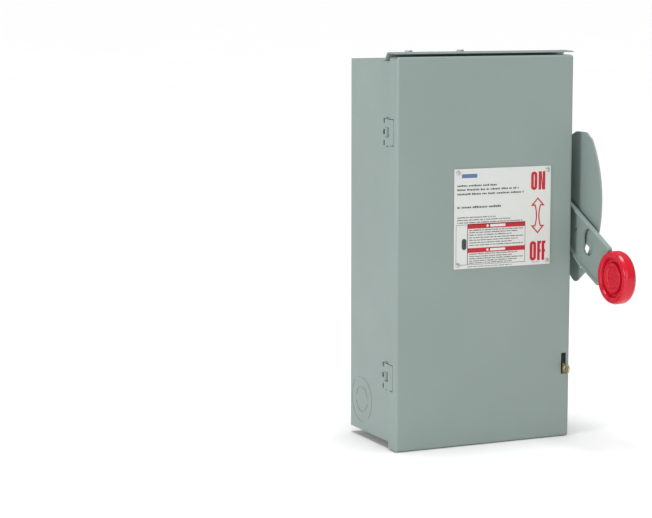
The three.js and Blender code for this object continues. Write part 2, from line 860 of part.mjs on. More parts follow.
const rim = arc(shaftY, shaftZ, quadrantRadius, 180 + rimBottom, 180 - rimTop, 26);
const [rimLowY, rimLowZ] = rim[0];
const [rimHighY, rimHighZ] = rim.at(-1);
const topEdgeY = rimHighY + rimShoulder[0];
const topEdgeZ = rimHighZ + rimShoulder[1];
const quadrantFace = outline([
  [heelY, footLow, 3],
  [rimLowY + rimChin[0], rimLowZ - rimChin[1], 9],
  ...rim,
  [topEdgeY, topEdgeZ, 5],
  [topEdgeY + rimTopEdge, topEdgeZ, 10],
  [heelY, footHigh, 3],
]);
const padlockArc = outline([
  ...arc(shaftY, shaftZ, padlockReach + padlockWidth / 2, 180 + padlockFrom, 180 + padlockTo, 6),
  ...arc(shaftY, shaftZ, padlockReach - padlockWidth / 2, 180 + padlockTo, 180 + padlockFrom, 6),
]);
const quadrant = cut(
  joined(
    alongX(quadrantFace, quadrantInner, quadrantOuter),
    block(wallX + CLEAR, quadrantOuter, heelY, heelY + quadrantSheet, footLow + 2, footHigh - 2),
    block(wallX + CLEAR, wallX + CLEAR + quadrantSheet, heelY, footRear, footLow + 2, footHigh - 2),
  ),
  alongX(padlockArc, quadrantInner - 1, quadrantOuter + 1),
  ...guardScrewHoles,
);
place(group, "padlock_quadrant", quadrant, "paint");
guardScrewZ.forEach((z, i) => {
  const screw = place(group, `quadrant_screw_${i + 1}`, hexScrew(screwHead), "zinc");
  screw.rotation.y = Math.PI / 2;
  screw.position.set(wallX + CLEAR * 2 + quadrantSheet, guardScrewY, z);
});

// ---- Frames that carry the shaft and the rotor ----

place(
  group,
  "mechanism_frame",
  cut(
    joined(
      block(frameX, frameX + 2, shaftY - frameReach, backFace, shaftZ - frameHalf, shaftZ + frameHalf),
      block(frameX, frameX + frameFoot, backFace - 2, backFace, shaftZ - frameHalf, shaftZ + frameHalf),
    ),
    rod("x", shaftRadius + RUN, frameX - 1, frameX + 3, shaftY, shaftZ),
  ),
  "zinc",
);
const journalX = baseLeft - journalGap;
place(
  group,
  "rotor_journal",
  joined(
    block(journalX - 2, journalX, shaftY - journalReach, backFace, shaftZ - journalHalf, shaftZ + journalHalf),
    block(journalX - journalFoot, journalX, backFace - 2, backFace, shaftZ - journalHalf, shaftZ + journalHalf),
    rod("x", journalRadius, journalX - 1, baseLeft - CLEAR, shaftY, shaftZ, 20),
  ),
  "zinc",
);

// ---- Rotor: a moulded crossbar that carries the three blades, swung forward when open ----

const rotor = new THREE.Group();
rotor.position.set(0, shaftY, shaftZ);
rotor.rotation.x = radians(throwAngle * rotorRatio);
group.add(rotor);

const barLow = barReach - barHeight / 2;
const barHigh = barReach + barHeight / 2;
function rotorArm(halfWidth, low, radius, x0, x1) {
  const corners = [
    [halfWidth, low, radius],
    [halfWidth, barHigh],
    [-halfWidth, barHigh],
    [-halfWidth, low, radius],
  ];
  return alongX(outline(corners), x0, x1);
}
const leftArm = rotorArm(journalRadius + 2, -journalRadius - 3, 6, baseLeft - armThickness, baseLeft);
const rightArm = rotorArm(shaftRadius + 4, -shaftRadius - 4, 10, armRight - drivenArm, armRight);
const crossbar = alongX(
  rectangle(-barDepth / 2, barDepth / 2, barLow, barHigh, 2),
  baseLeft - armThickness,
  armRight,
);
const bladeSlots = poleX.map((x) =>
  block(
    x - bladeThickness / 2 - CLEAR,
    x + bladeThickness / 2 + CLEAR,
    -bladeWidth / 2 - CLEAR,
    bladeWidth / 2 + CLEAR,
    barLow - 1,
    barHigh + 1,
  ),
);
place(
  rotor,
  "rotor_crossbar",
  cut(
    joined(crossbar, leftArm, rightArm),
    ...bladeSlots,
    rod("x", journalRadius + RUN, baseLeft - armThickness - 1, baseLeft + 1, 0, 0, 20),
    rod("x", shaftRadius + RUN, armRight - drivenArm - 1, armRight + 1, 0, 0),
  ),
  "phenolic",
);
const blade = alongX(
  outline([
    [-bladeWidth / 2, -bladeTail, 6],
    [bladeWidth / 2, -bladeTail, 6],
    [bladeWidth / 2, bladeReach, 4],
    [-bladeWidth / 2, bladeReach, 4],
  ]),
  -bladeThickness / 2,
  bladeThickness / 2,
);
poleX.forEach((x, i) => {
  place(rotor, `switch_blade_${i + 1}`, blade, "copper").position.x = x;
});

// ---- Insulating bases with barriers between the poles ----

function base(low, high, barrierLow = low, barrierHigh = high) {
  const barriers = [(poleX[0] + poleX[1]) / 2, (poleX[1] + poleX[2]) / 2].map((x) =>
    block(x - barrier / 2, x + barrier / 2, barrierFront, baseFront + 1, barrierLow, barrierHigh),
  );
  return joined(block(baseLeft, baseRight, baseFront, backFace, low, high), ...barriers);
}

const jawLow = shaftZ + jawRise;
const lineStripHigh = jawLow + lineStrip;
const upperClip = fuseTop - clipInset - clipHeight;
const lowerClip = fuseTop - fuseLength + clipInset;
const lowerStripLow = lowerClip - lowerStrip;
const switchLow = upperClip - baseEnd * 2;
const bladeHingeHigh = shaftZ + bladeTail;
place(group, "line_base", base(jawLow - baseEnd, lineStripHigh + baseEnd), "phenolic");
place(group, "switch_base", base(switchLow, bladeHingeHigh + 6, switchLow, shaftZ - 12), "phenolic");
place(group, "fuse_base", base(lowerStripLow - baseEnd, lowerClip + clipHeight + 6), "phenolic");

// ---- Terminals: line jaws and lugs, blade hinges with the upper fuse clips, lower clips and lugs ----

const cheekIn = bladeThickness / 2 + CLEAR;
const cheekOut = cheekIn + stripThickness;

function strip(low, high) {
  return block(-stripWidth / 2, stripWidth / 2, stripFront, stripBack, low, high);
}

// Two cheeks that hold a blade between them.
function cheeks(low, high) {
  return joined(
    block(-cheekOut, -cheekIn, shaftY - 9, stripBack, low, high),
    block(cheekIn, cheekOut, shaftY - 9, stripBack, low, high),
  );
}

// A lug with a wire hole up through it and a screw hole in front.
function lug(low) {
  return cut(
    block(-stripWidth / 2, stripWidth / 2, lugFront, stripFront + 0.5, low, low + lugHeight),
    rod("z", wireRadius, low - 1, low + lugHeight + 1, 0, (lugFront + stripFront) / 2, 20),
    rod("y", lugScrewRadius, lugFront - 1, (lugFront + stripFront) / 2, 0, low + lugHeight / 2, 16),
  );
}

// A spring clip round a fuse ferrule, open to the front.
function fuseClip(low) {
  const high = low + clipHeight;
  const inner = fuseRadius + CLEAR;
  const outer = inner + clipSheet;
  return joined(
    cut(
      rod("z", outer, low, high, 0, fuseY, 24),
      rod("z", inner, low - 1, high + 1, 0, fuseY, 24),
      block(-outer, outer, fuseY - outer - 1, fuseY - inner * 0.6, low - 1, high + 1),
    ),
    block(-5, 5, fuseY + inner + 0.4, stripFront + 0.5, low, high),
  );
}

const lineTerminal = joined(
  strip(jawLow, lineStripHigh),
  cheeks(jawLow, jawLow + jawHeight),
  lug(lineStripHigh - lugHeight - 2),
);
const loadTerminal = joined(
  strip(upperClip, bladeHingeHigh),
  cheeks(shaftZ - bladeTail, bladeHingeHigh),
  fuseClip(upperClip),
);
const lowerTerminal = joined(
  strip(lowerStripLow, lowerClip + clipHeight),
  fuseClip(lowerClip),
  lug(lowerStripLow),
);
const fuseBody = turned([
  [0, 0],
  [fuseRadius, 0],
  [fuseRadius, ferrule],
  [fuseRadius - 0.8, ferrule + 0.4],
  [fuseRadius - 0.8, fuseLength - ferrule - 0.4],
  [fuseRadius, fuseLength - ferrule],
  [fuseRadius, fuseLength],
  [0, fuseLength],
]);
poleX.forEach((x, i) => {
  place(group, `line_terminal_${i + 1}`, lineTerminal, "copper").position.x = x;
  place(group, `load_terminal_${i + 1}`, loadTerminal, "copper").position.x = x;
  place(group, `lower_terminal_${i + 1}`, lowerTerminal, "copper").position.x = x;
  place(group, `fuse_${i + 1}`, fuseBody, "fuse").position.set(x, fuseY, fuseTop - fuseLength);
});

// ---- Ground lug ----

const groundX = innerX - groundInset;
const groundZ = -topZ + groundRise;
const groundLeft = groundX - groundWidth / 2;
const groundRight = groundX + groundWidth / 2;
const groundWireY = backFace - groundDepth / 2 - 0.6;
place(
  group,
  "ground_lug",
  cut(
    joined(
      block(groundLeft, groundRight, backFace - groundDepth, backFace, groundZ, groundZ + groundHeight),
      block(groundLeft, groundRight, backFace - 2, backFace, groundZ - groundTab, groundZ + 1),
    ),
    rod("z", groundWire, groundZ - 1, groundZ + groundHeight + 1, groundX, groundWireY, 16),
  ),
  "copper",
);

// ---- Interlock: the crank lifts a bar whose finger rises behind the door's hook ----

const crankWorldY = shaftY - crankReach * Math.cos(radians(throwAngle / 2));
const crankWorldZ = shaftZ - crankReach * Math.sin(radians(throwAngle / 2));
const yokeRear = shaftY - shaftRadius - 1.5;
const fingerTravel = 2 * crankReach * Math.sin(radians(throwAngle / 2));
const hookHeight = shaftZ - hookDrop;
const fingerFront = doorInner + fingerGap;
const fingerBack = fingerFront + fingerWidth;
const fingerTop = hookHeight - 1 - fingerTravel;
const armHigh = shaftZ - armDrop;
const armLow = armHigh - armHeight;
const yokeLow = crankWorldZ - yokeRise[0];
const yokeHigh = crankWorldZ + yokeRise[1];
const neckFront = yokeRear - neckReach;
const neckRear = neckFront + neckWidth;
const interlockBar = alongX(
  outline([
    [fingerFront, armLow, 1.5],
    [neckRear, armLow, 4],
    [neckRear, yokeLow, 2],
    [yokeRear, yokeLow, 2],
    [yokeRear, yokeHigh, 3],
    [neckFront, yokeHigh, 3],
    [neckFront, armHigh, 4],
    [fingerBack, armHigh, 3],
    [fingerBack, fingerTop, 1.5],
    [fingerFront, fingerTop, 1.5],
  ]),
  barPlaneLow,
  barPlaneHigh,
);
const crankSwing = crankReach * (1 - Math.cos(radians(throwAngle / 2)));
const yokeSlot = alongX(
  rectangle(
    crankWorldY - crankSwing - crankPin - 0.4,
    crankWorldY + crankPin + 0.4,
    crankWorldZ - crankPin - 0.4,
    crankWorldZ + crankPin + 0.4,
    crankPin,
  ),
  barPlaneLow - 1,
  barPlaneHigh + 1,
);
place(group, "interlock_bar", cut(interlockBar, yokeSlot), "zinc");
const guideHigh = shaftZ - guideDrop;
const guideLow = guideHigh - guideHeight;
place(
  group,
  "interlock_guide",
  joined(
    cut(
      block(barPlaneLow - 2, barPlaneHigh + 2, neckFront - 2, neckRear + 2, guideLow, guideHigh),
      block(
        barPlaneLow - guideGap,
        barPlaneHigh + guideGap,
        neckFront - guideGap,
        neckRear + guideGap,
        guideLow - 1,
        guideHigh + 1,
      ),
    ),
    block(barPlaneHigh + 1, innerX - CLEAR, neckRear, neckRear + 2, guideLow, guideHigh),
    block(innerX - CLEAR - 2, innerX - CLEAR, neckRear, neckRear + 16, guideLow, guideHigh),
  ),
  "zinc",
);
const hookFace = doorInner + CLEAR;
const hookLip = fingerBack + 2;
place(
  group,
  "door_hook",
  alongX(
    outline([
      [hookFace, hookHeight],
      [hookLip, hookHeight],
      [hookLip, hookHeight - hookLength],
      [hookLip + sheet, hookHeight - hookLength],
      [hookLip + sheet, hookHeight + sheet, 2],
      [hookFace + sheet, hookHeight + sheet],
      [hookFace + sheet, hookHeight + hookPlate],
      [hookFace, hookHeight + hookPlate],
    ]),
    barPlaneLow - 6,
    barPlaneHigh + 4,
  ),
  "zinc",
);

// ---- Latch: a sprung tongue with a padlock eye that comes out through the door ----

const latchTip = -overallDepth - latchReach;
const latchTop = latchPivotZ + latchHeight / 2;
const latchBottom = latchPivotZ - latchHeight / 2;
place(
  group,
  "latch_tongue",
  cut(
    alongX(
      outline([
        [latchTip, latchBottom, 5],
        [latchPivotY + latchHeel, latchBottom, 5],
        [latchPivotY + latchHeel, latchTop, 5],
        [latchTip, latchTop, 5],
      ]),
      latchX,
      latchX + latchThickness,
    ),
    rod("x", latchEye, latchX - 1, latchX + 4, latchTip + 6, latchPivotZ, 20),
    rod("x", latchPinRadius + RUN, latchX - 1, latchX + 4, latchPivotY, latchPivotZ, 20),
  ),
  "yellowZinc",
);
const bracketX = innerX - CLEAR;
place(
  group,
  "latch_bracket",
  cut(
    block(
      bracketX - sheet,
      bracketX,
      latchPivotY - bracketHalf[0],
      latchPivotY + bracketHalf[0],
      latchPivotZ - bracketHalf[1],
      latchPivotZ + bracketHalf[1],
    ),
    rod("x", latchPinRadius + CLEAR, bracketX - 3, bracketX + 1, latchPivotY, latchPivotZ, 20),
  ),
  "zinc",
);
const latchPinFoot = latchX - CLEAR;
place(
  group,
  "latch_pin",
  joined(
    rod("x", latchPinRadius, latchPinFoot - 1, bracketX - CLEAR, latchPivotY, latchPivotZ, 20),
    rod("x", latchPinRadius + 1.8, latchPinFoot - 1.5, latchPinFoot, latchPivotY, latchPivotZ, 20),
  ),
  "zinc",
);

export default group;
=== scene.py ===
"""Looks of a heavy-duty, side-operated safety switch in a rainproof sheet-steel box.

Every length is in metres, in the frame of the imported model: +X to the right, +Y into the wall, +Z up.
"""

import json
import logging
import math
import random
from collections.abc import Iterable, Sequence
from dataclasses import dataclass, field
from enum import Enum
from itertools import pairwise

import bmesh
import bpy
from mathutils import Matrix, Vector
from mathutils.geometry import tessellate_polygon


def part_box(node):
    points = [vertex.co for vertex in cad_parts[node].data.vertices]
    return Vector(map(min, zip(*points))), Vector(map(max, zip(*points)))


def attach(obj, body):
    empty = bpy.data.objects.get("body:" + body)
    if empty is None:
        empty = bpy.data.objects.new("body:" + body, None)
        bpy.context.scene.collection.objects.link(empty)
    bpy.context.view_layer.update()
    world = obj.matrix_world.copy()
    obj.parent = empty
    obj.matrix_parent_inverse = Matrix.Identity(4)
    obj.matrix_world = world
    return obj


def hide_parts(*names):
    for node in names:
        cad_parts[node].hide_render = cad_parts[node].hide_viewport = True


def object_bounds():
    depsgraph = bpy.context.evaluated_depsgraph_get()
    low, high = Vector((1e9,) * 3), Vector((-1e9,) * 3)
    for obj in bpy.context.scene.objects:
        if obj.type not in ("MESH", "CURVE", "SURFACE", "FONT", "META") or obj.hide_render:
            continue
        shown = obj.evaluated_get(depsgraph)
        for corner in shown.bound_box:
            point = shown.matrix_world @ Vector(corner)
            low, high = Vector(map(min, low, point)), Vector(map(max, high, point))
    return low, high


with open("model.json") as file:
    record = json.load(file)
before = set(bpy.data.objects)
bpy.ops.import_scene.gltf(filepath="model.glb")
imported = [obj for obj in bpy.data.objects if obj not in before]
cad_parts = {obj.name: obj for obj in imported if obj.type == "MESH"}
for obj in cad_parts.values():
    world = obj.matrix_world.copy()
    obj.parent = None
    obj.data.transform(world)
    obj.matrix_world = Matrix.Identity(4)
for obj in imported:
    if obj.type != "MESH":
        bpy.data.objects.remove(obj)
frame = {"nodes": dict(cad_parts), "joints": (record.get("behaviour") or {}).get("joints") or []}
CAD_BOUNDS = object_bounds()

Point = tuple[float, float]
Loop = list[Point]
Colour = tuple[float, float, float]

LOG = logging.getLogger("safety_switch")
POLES = (1, 2, 3)
CORNERS = (1, 2, 3, 4)
HINGES = ("upper", "lower")
JOINTS = {joint["name"]: joint for joint in frame["joints"]}


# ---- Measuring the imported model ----


class Axis(Enum):
    """Direction a section is run along: the places of its u, v and w among x, y and z."""

    X = (1, 2, 0)
    Y = (0, 2, 1)
    Z = (0, 1, 2)

    def place(self, u: float, v: float, w: float) -> Vector:
        """Return the point with section coordinates u, v at w along the axis.

        Args:
            u: First coordinate of the section.
            v: Second coordinate of the section.
            w: Distance along the axis.

        Returns:
            The point in space.
        """
        spot = [0.0, 0.0, 0.0]
        for place, value in zip(self.value, (u, v, w)):
            spot[place] = value
        return Vector(spot)

    def section(self, point: Sequence[float]) -> Point:
        """Return a point's two coordinates in the section's plane."""
        return point[self.value[0]], point[self.value[1]]

    def along(self, point: Sequence[float]) -> float:
        """Return a point's coordinate along the axis."""
        return point[self.value[2]]


@dataclass(frozen=True)
class Extent:
    """Box round a CAD node at rest."""

    low: Vector
    high: Vector

    @classmethod
    def of(cls, node: str) -> "Extent":
        """Return the box round a named CAD node."""
        return cls(*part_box(node))

    @property
    def middle(self) -> Vector:
        """Return the centre of the box."""
        return (self.low + self.high) / 2

    @property
    def size(self) -> Vector:
        """Return the lengths of the box's sides."""
        return self.high - self.low


# ---- Outlines ----


def turn(centre: Point, radius: float, start: float, end: float, steps: int) -> Loop:
    """Return points on an arc.

    Args:
        centre: Centre of the arc.
        radius: Radius of the arc.
        start: First angle, in degrees.
        end: Last angle, in degrees.
        steps: Number of chords.

    Returns:
        The arc's points, both ends included.
    """
    angles = [math.radians(start + (end - start) * k / steps) for k in range(steps + 1)]
    return [(centre[0] + radius * math.cos(a), centre[1] + radius * math.sin(a)) for a in angles]


def circle(centre: Point, radius: float, steps: int = 48) -> Loop:
    """Return a full circle, anticlockwise."""
    return turn(centre, radius, 0, 360, steps)[:-1]


def rounded(corners: Sequence[tuple[float, ...]], closed: bool = True) -> Loop:
    """Return an outline with its corners rounded.

    Args:
        corners: Corners as (u, v) or (u, v, radius).
        closed: Whether the outline closes on itself; an open one keeps its two ends sharp.

    Returns:
        The outline's points, with an arc at each corner that has a radius.
    """
    loop: Loop = []
    count = len(corners)
    for i, (u, v, *rest) in enumerate(corners):
        radius = rest[0] if rest else 0.0
        if radius == 0 or (not closed and i in (0, count - 1)):
            loop.append((u, v))
            continue
        corner = Vector((u, v))
        back = (Vector(corners[i - 1][:2]) - corner).normalized()
        ahead = (Vector(corners[(i + 1) % count][:2]) - corner).normalized()
        half = back.angle(ahead) / 2
        centre = corner + (back + ahead).normalized() * (radius / math.sin(half))
        start = corner + back * (radius / math.tan(half)) - centre
        end = corner + ahead * (radius / math.tan(half)) - centre
        sweep = math.atan2(start.x * end.y - start.y * end.x, start.dot(end))
        steps = max(3, math.ceil(abs(sweep) / 0.2))
        first = math.degrees(math.atan2(start.y, start.x))
        loop += turn(tuple(centre), radius, first, first + math.degrees(sweep), steps)
    return loop


def rectangle(low: Point, high: Point, radius: float = 0.0) -> Loop:
    """Return a rectangle with rounded corners, anticlockwise."""
    (u0, v0), (u1, v1) = low, high
    return rounded([(u0, v0, radius), (u1, v0, radius), (u1, v1, radius), (u0, v1, radius)])


def slot(centre: Point, half_length: float, radius: float, angle: float = 90.0) -> Loop:
    """Return a slot with round ends.

    Args:
        centre: Middle of the slot.
        half_length: Middle of the slot to the centre of each round end.
        radius: Half the slot's width.
        angle: Direction the slot runs in, in degrees.

    Returns:
        The slot's outline, anticlockwise.
    """
    run = Vector((math.cos(math.radians(angle)), math.sin(math.radians(angle)))) * half_length
    far = (centre[0] + run.x, centre[1] + run.y)
    near = (centre[0] - run.x, centre[1] - run.y)
    return turn(far, radius, angle - 90, angle + 90, 12) + turn(near, radius, angle + 90, angle + 270, 12)


def inset(loop: Loop, distance: float) -> Loop:
    """Return a closed outline moved sideways, to the left of its direction.

    Args:
        loop: Closed outline.
        distance: How far it moves; negative moves it to the right.

    Returns:
        The moved outline.
    """
    if distance == 0:
        return list(loop)
    moved: Loop = []
    for before, here, after in zip(loop[-1:] + loop[:-1], loop, loop[1:] + loop[:1]):
        first = (Vector(here) - Vector(before)).normalized()
        second = (Vector(after) - Vector(here)).normalized()
        left = Vector((-first.y - second.y, first.x + second.x)) / (1 + first.dot(second))
        moved.append((here[0] + left.x * distance, here[1] + left.y * distance))
    return moved


def sheet_section(path: Sequence[tuple[float, ...]], thickness: float) -> Loop:
    """Return the section of a folded sheet.

    Args:
        path: Corners of the sheet's middle line, with the bend radius of that line at each.
        thickness: Thickness of the sheet.

    Returns:
        The section's closed outline.
    """
    line = [Vector(p) for p in rounded(path, closed=False)]
    sides: tuple[Loop, Loop] = ([], [])
    for i, here in enumerate(line):
        first = (here - line[i - 1]).normalized() if i else (line[1] - here).normalized()
        second = (line[i + 1] - here).normalized() if i + 1 < len(line) else first
        left = Vector((-first.y - second.y, first.x + second.x)) / (1 + first.dot(second))
        for side, sign in zip(sides, (0.5, -0.5)):
            side.append(tuple(here + left * (thickness * sign)))
    return sides[0] + sides[1][::-1]


# ---- Meshes ----


def mesh_object(name: str, bm: bmesh.types.BMesh) -> bpy.types.Object:
    """Turn a bmesh into a linked object with its faces pointing out.

    Args:
        name: Name of the object.
        bm: Mesh data, used up by this.

    Returns:
        The new object.
    """
    bmesh.ops.recalc_face_normals(bm, faces=bm.faces)
    mesh = bpy.data.meshes.new(name)
    bm.to_mesh(mesh)
    bm.free()
    obj = bpy.data.objects.new(name, mesh)
    bpy.context.scene.collection.objects.link(obj)
    return obj


def rim_levels(low: float, high: float, edges: tuple[float, float], steps: int) -> list[Point]:
    """Return (level, inset) pairs up the side of a plate whose two edges are rounded.

    Args:
        low: The plate's lower level.
        high: The plate's upper level.
        edges: Radius of the rounded edges.
        steps: Number of chords on each edge.

    Returns:
        Level and inset pairs, from low to high.
    """
    quarter = [math.pi / 2 * k / steps for k in range(steps + 1)]
    below, above = edges
    foot = [(low + below * (1 - math.cos(a)), below * (1 - math.sin(a))) for a in quarter]
    head = [(high - above * (1 - math.cos(a)), above * (1 - math.sin(a))) for a in reversed(quarter)]
    return (foot if below else [(low, 0.0)]) + (head if above else [(high, 0.0)])


def plate(
    name: str,
    loops: Sequence[Loop],
    axis: Axis,
    low: float,
    high: float,
    edges: float | tuple[float, float] = 0.0,
    steps: int = 3,
) -> bpy.types.Object:
    """Build a plate or bar of one section, with rounded edges.

    Args:
        name: Name of the piece.
        loops: The outline, then the outlines of its holes.
        axis: Direction the section is run along.
        low: Where the plate starts along the axis.
        high: Where it ends.
        edges: Radius of both edges, or one for each end.
        steps: Faces round each edge.

    Returns:
        The closed mesh as an object.
    """
    if not isinstance(edges, tuple):
        edges = (edges, edges)
    wound: list[Loop] = []
    for i, loop in enumerate(loops):
        area = sum(a[0] * b[1] - b[0] * a[1] for a, b in zip(loop, loop[1:] + loop[:1]))
        wound.append(list(loop) if (area > 0) == (i == 0) else list(reversed(loop)))
    bm = bmesh.new()
    rings = []
    for level, depth in rim_levels(low, high, edges, steps):
        section = [inset(loop, depth) for loop in wound]
        verts = [[bm.verts.new(axis.place(u, v, level)) for u, v in loop] for loop in section]
        rings.append((section, verts))
    for (_, lower), (_, upper) in pairwise(rings):
        for under, over in zip(lower, upper):
            for i, vert in enumerate(under):
                bm.faces.new((under[i - 1], vert, over[i], over[i - 1]))
    for section, verts in (rings[0], rings[-1]):
        flat = [vert for ring in verts for vert in ring]
        for corners in tessellate_polygon([[Vector((u, v, 0)) for u, v in loop] for loop in section]):
            if len(set(corners)) == 3:
                bm.faces.new([flat[i] for i in corners])
    return mesh_object(name, bm)


def lathe(
    name: str,
    profile: Sequence[tuple[float, ...]],
    axis: Axis,
    centre: Sequence[float],
    segments: int = 64,
) -> bpy.types.Object:
    """Build a turned piece.

    Args:
        name: Name of the piece.
        profile: (radius, height) or (radius, height, fillet) corners, from one end to the other.
        axis: The piece's own axis.
        centre: Point that heights are measured from.
        segments: Faces round the piece.

    Returns:
        The closed mesh; a profile that stays off the axis makes a ring.
    """
    solid = profile[0][0] == 0 and profile[-1][0] == 0
    line = rounded(profile, closed=not solid)
    u0, v0 = axis.section(centre)
    base = axis.along(centre)
    bm = bmesh.new()
    rings = []
    for radius, height in line:
        if radius < 1e-7:
            rings.append([bm.verts.new(axis.place(u0, v0, base + height))])
            continue
        spots = circle((u0, v0), radius, segments)
        rings.append([bm.verts.new(axis.place(u, v, base + height)) for u, v in spots])
    joined = [pair for pair in pairwise(rings) if len(pair[0]) + len(pair[1]) > 2]
    for under, over in joined + ([] if solid else [(rings[-1], rings[0])]):
        for i in range(segments):
            corners = [under[i - 1 if len(under) > 1 else 0], under[i if len(under) > 1 else 0]]
            corners += [over[i if len(over) > 1 else 0], over[i - 1 if len(over) > 1 else 0]]
            bm.faces.new(list(dict.fromkeys(corners)))
    return mesh_object(name, bm)


def bar(
    name: str,
    radius: float,
    axis: Axis,
    low: Sequence[float],
    length: float,
    edge: float = 0.0,
    segments: int = 48,
) -> bpy.types.Object:
    """Build a round bar.

    Args:
        name: Name of the piece.
        radius: Radius of the bar.
        axis: The bar's own axis.
        low: Middle of its lower end.
        length: Length of the bar.
        edge: Chamfer of both ends.
        segments: Faces round the bar.

    Returns:
        The bar.
    """
    profile = [(0, 0), (radius - edge, 0), (radius, edge), (radius, length - edge), (radius - edge, length)]
    if edge == 0:
        profile = [(0, 0), (radius, 0), (radius, length)]
    return lathe(name, [*profile, (0, length)], axis, low, segments)


def block(name: str, low: Sequence[float], high: Sequence[float], edge: float = 0.0) -> bpy.types.Object:
    """Build a box-shaped solid between two corners, with its upright edges rounded too."""
    sides = rectangle((low[0], low[1]), (high[0], high[1]), edge)
    return plate(name, [sides], Axis.Z, low[2], high[2], edge)


def settle(obj: bpy.types.Object) -> None:
    """Replace an object's mesh by what its modifiers make of it.

    Args:
        obj: Object whose modifiers are used up.
    """
    evaluated = obj.evaluated_get(bpy.context.evaluated_depsgraph_get())
    mesh = bpy.data.meshes.new_from_object(evaluated)
    obj.modifiers.clear()
    obj.data = mesh


def discard(objects: Iterable[bpy.types.Object]) -> None:
    """Remove objects that only served to shape another."""
    for obj in objects:
        bpy.data.objects.remove(obj, do_unlink=True)


def combine(
    target: bpy.types.Object, tools: Sequence[bpy.types.Object], operation: str = "DIFFERENCE"
) -> bpy.types.Object:
    """Cut solids from a mesh, or join them to it.

    Args:
        target: The mesh that is shaped.
        tools: Solids that are used up.
        operation: DIFFERENCE, UNION or INTERSECT.

    Returns:
        The shaped object.
    """
    for tool in tools:
        change = target.modifiers.new("shape", "BOOLEAN")
        change.operation = operation
        change.solver = "EXACT"
        change.object = tool
    bpy.context.view_layer.update()
    settle(target)
    discard(tools)
    return target


def gather(name: str, parts: Sequence[bpy.types.Object]) -> bpy.types.Object:
    """Put separate meshes together in one object.

    Args:
        name: Name of the new object.
        parts: Objects that are used up.

    Returns:
        The new object.
    """
    bm = bmesh.new()
    for part in parts:
        bm.from_mesh(part.data)
    discard(parts)
    return mesh_object(name, bm)


def swing(obj: bpy.types.Object, angle: float, pivot: Sequence[float]) -> bpy.types.Object:
    """Turn a mesh about the X axis through its pivot, which is where it was built round zero."""
    obj.data.transform(Matrix.Translation(Vector(pivot)) @ Matrix.Rotation(angle, 4, "X"))
    return obj


def soften(obj: bpy.types.Object, angle: float = 32.0) -> None:
    """Shade a mesh smoothly, with sharp edges kept above an angle in degrees.

    Args:
        obj: Object that is shaded.
        angle: Angle above which an edge stays sharp, in degrees.
    """
    mesh = obj.data
    if "custom_normal" in mesh.attributes:
        mesh.attributes.remove(mesh.attributes["custom_normal"])
    mesh.shade_smooth()
    mesh.set_sharp_from_angle(angle=math.radians(angle))
    even = obj.modifiers.new("even_normals", "WEIGHTED_NORMAL")
    even.keep_sharp = True


# ---- Finishes ----


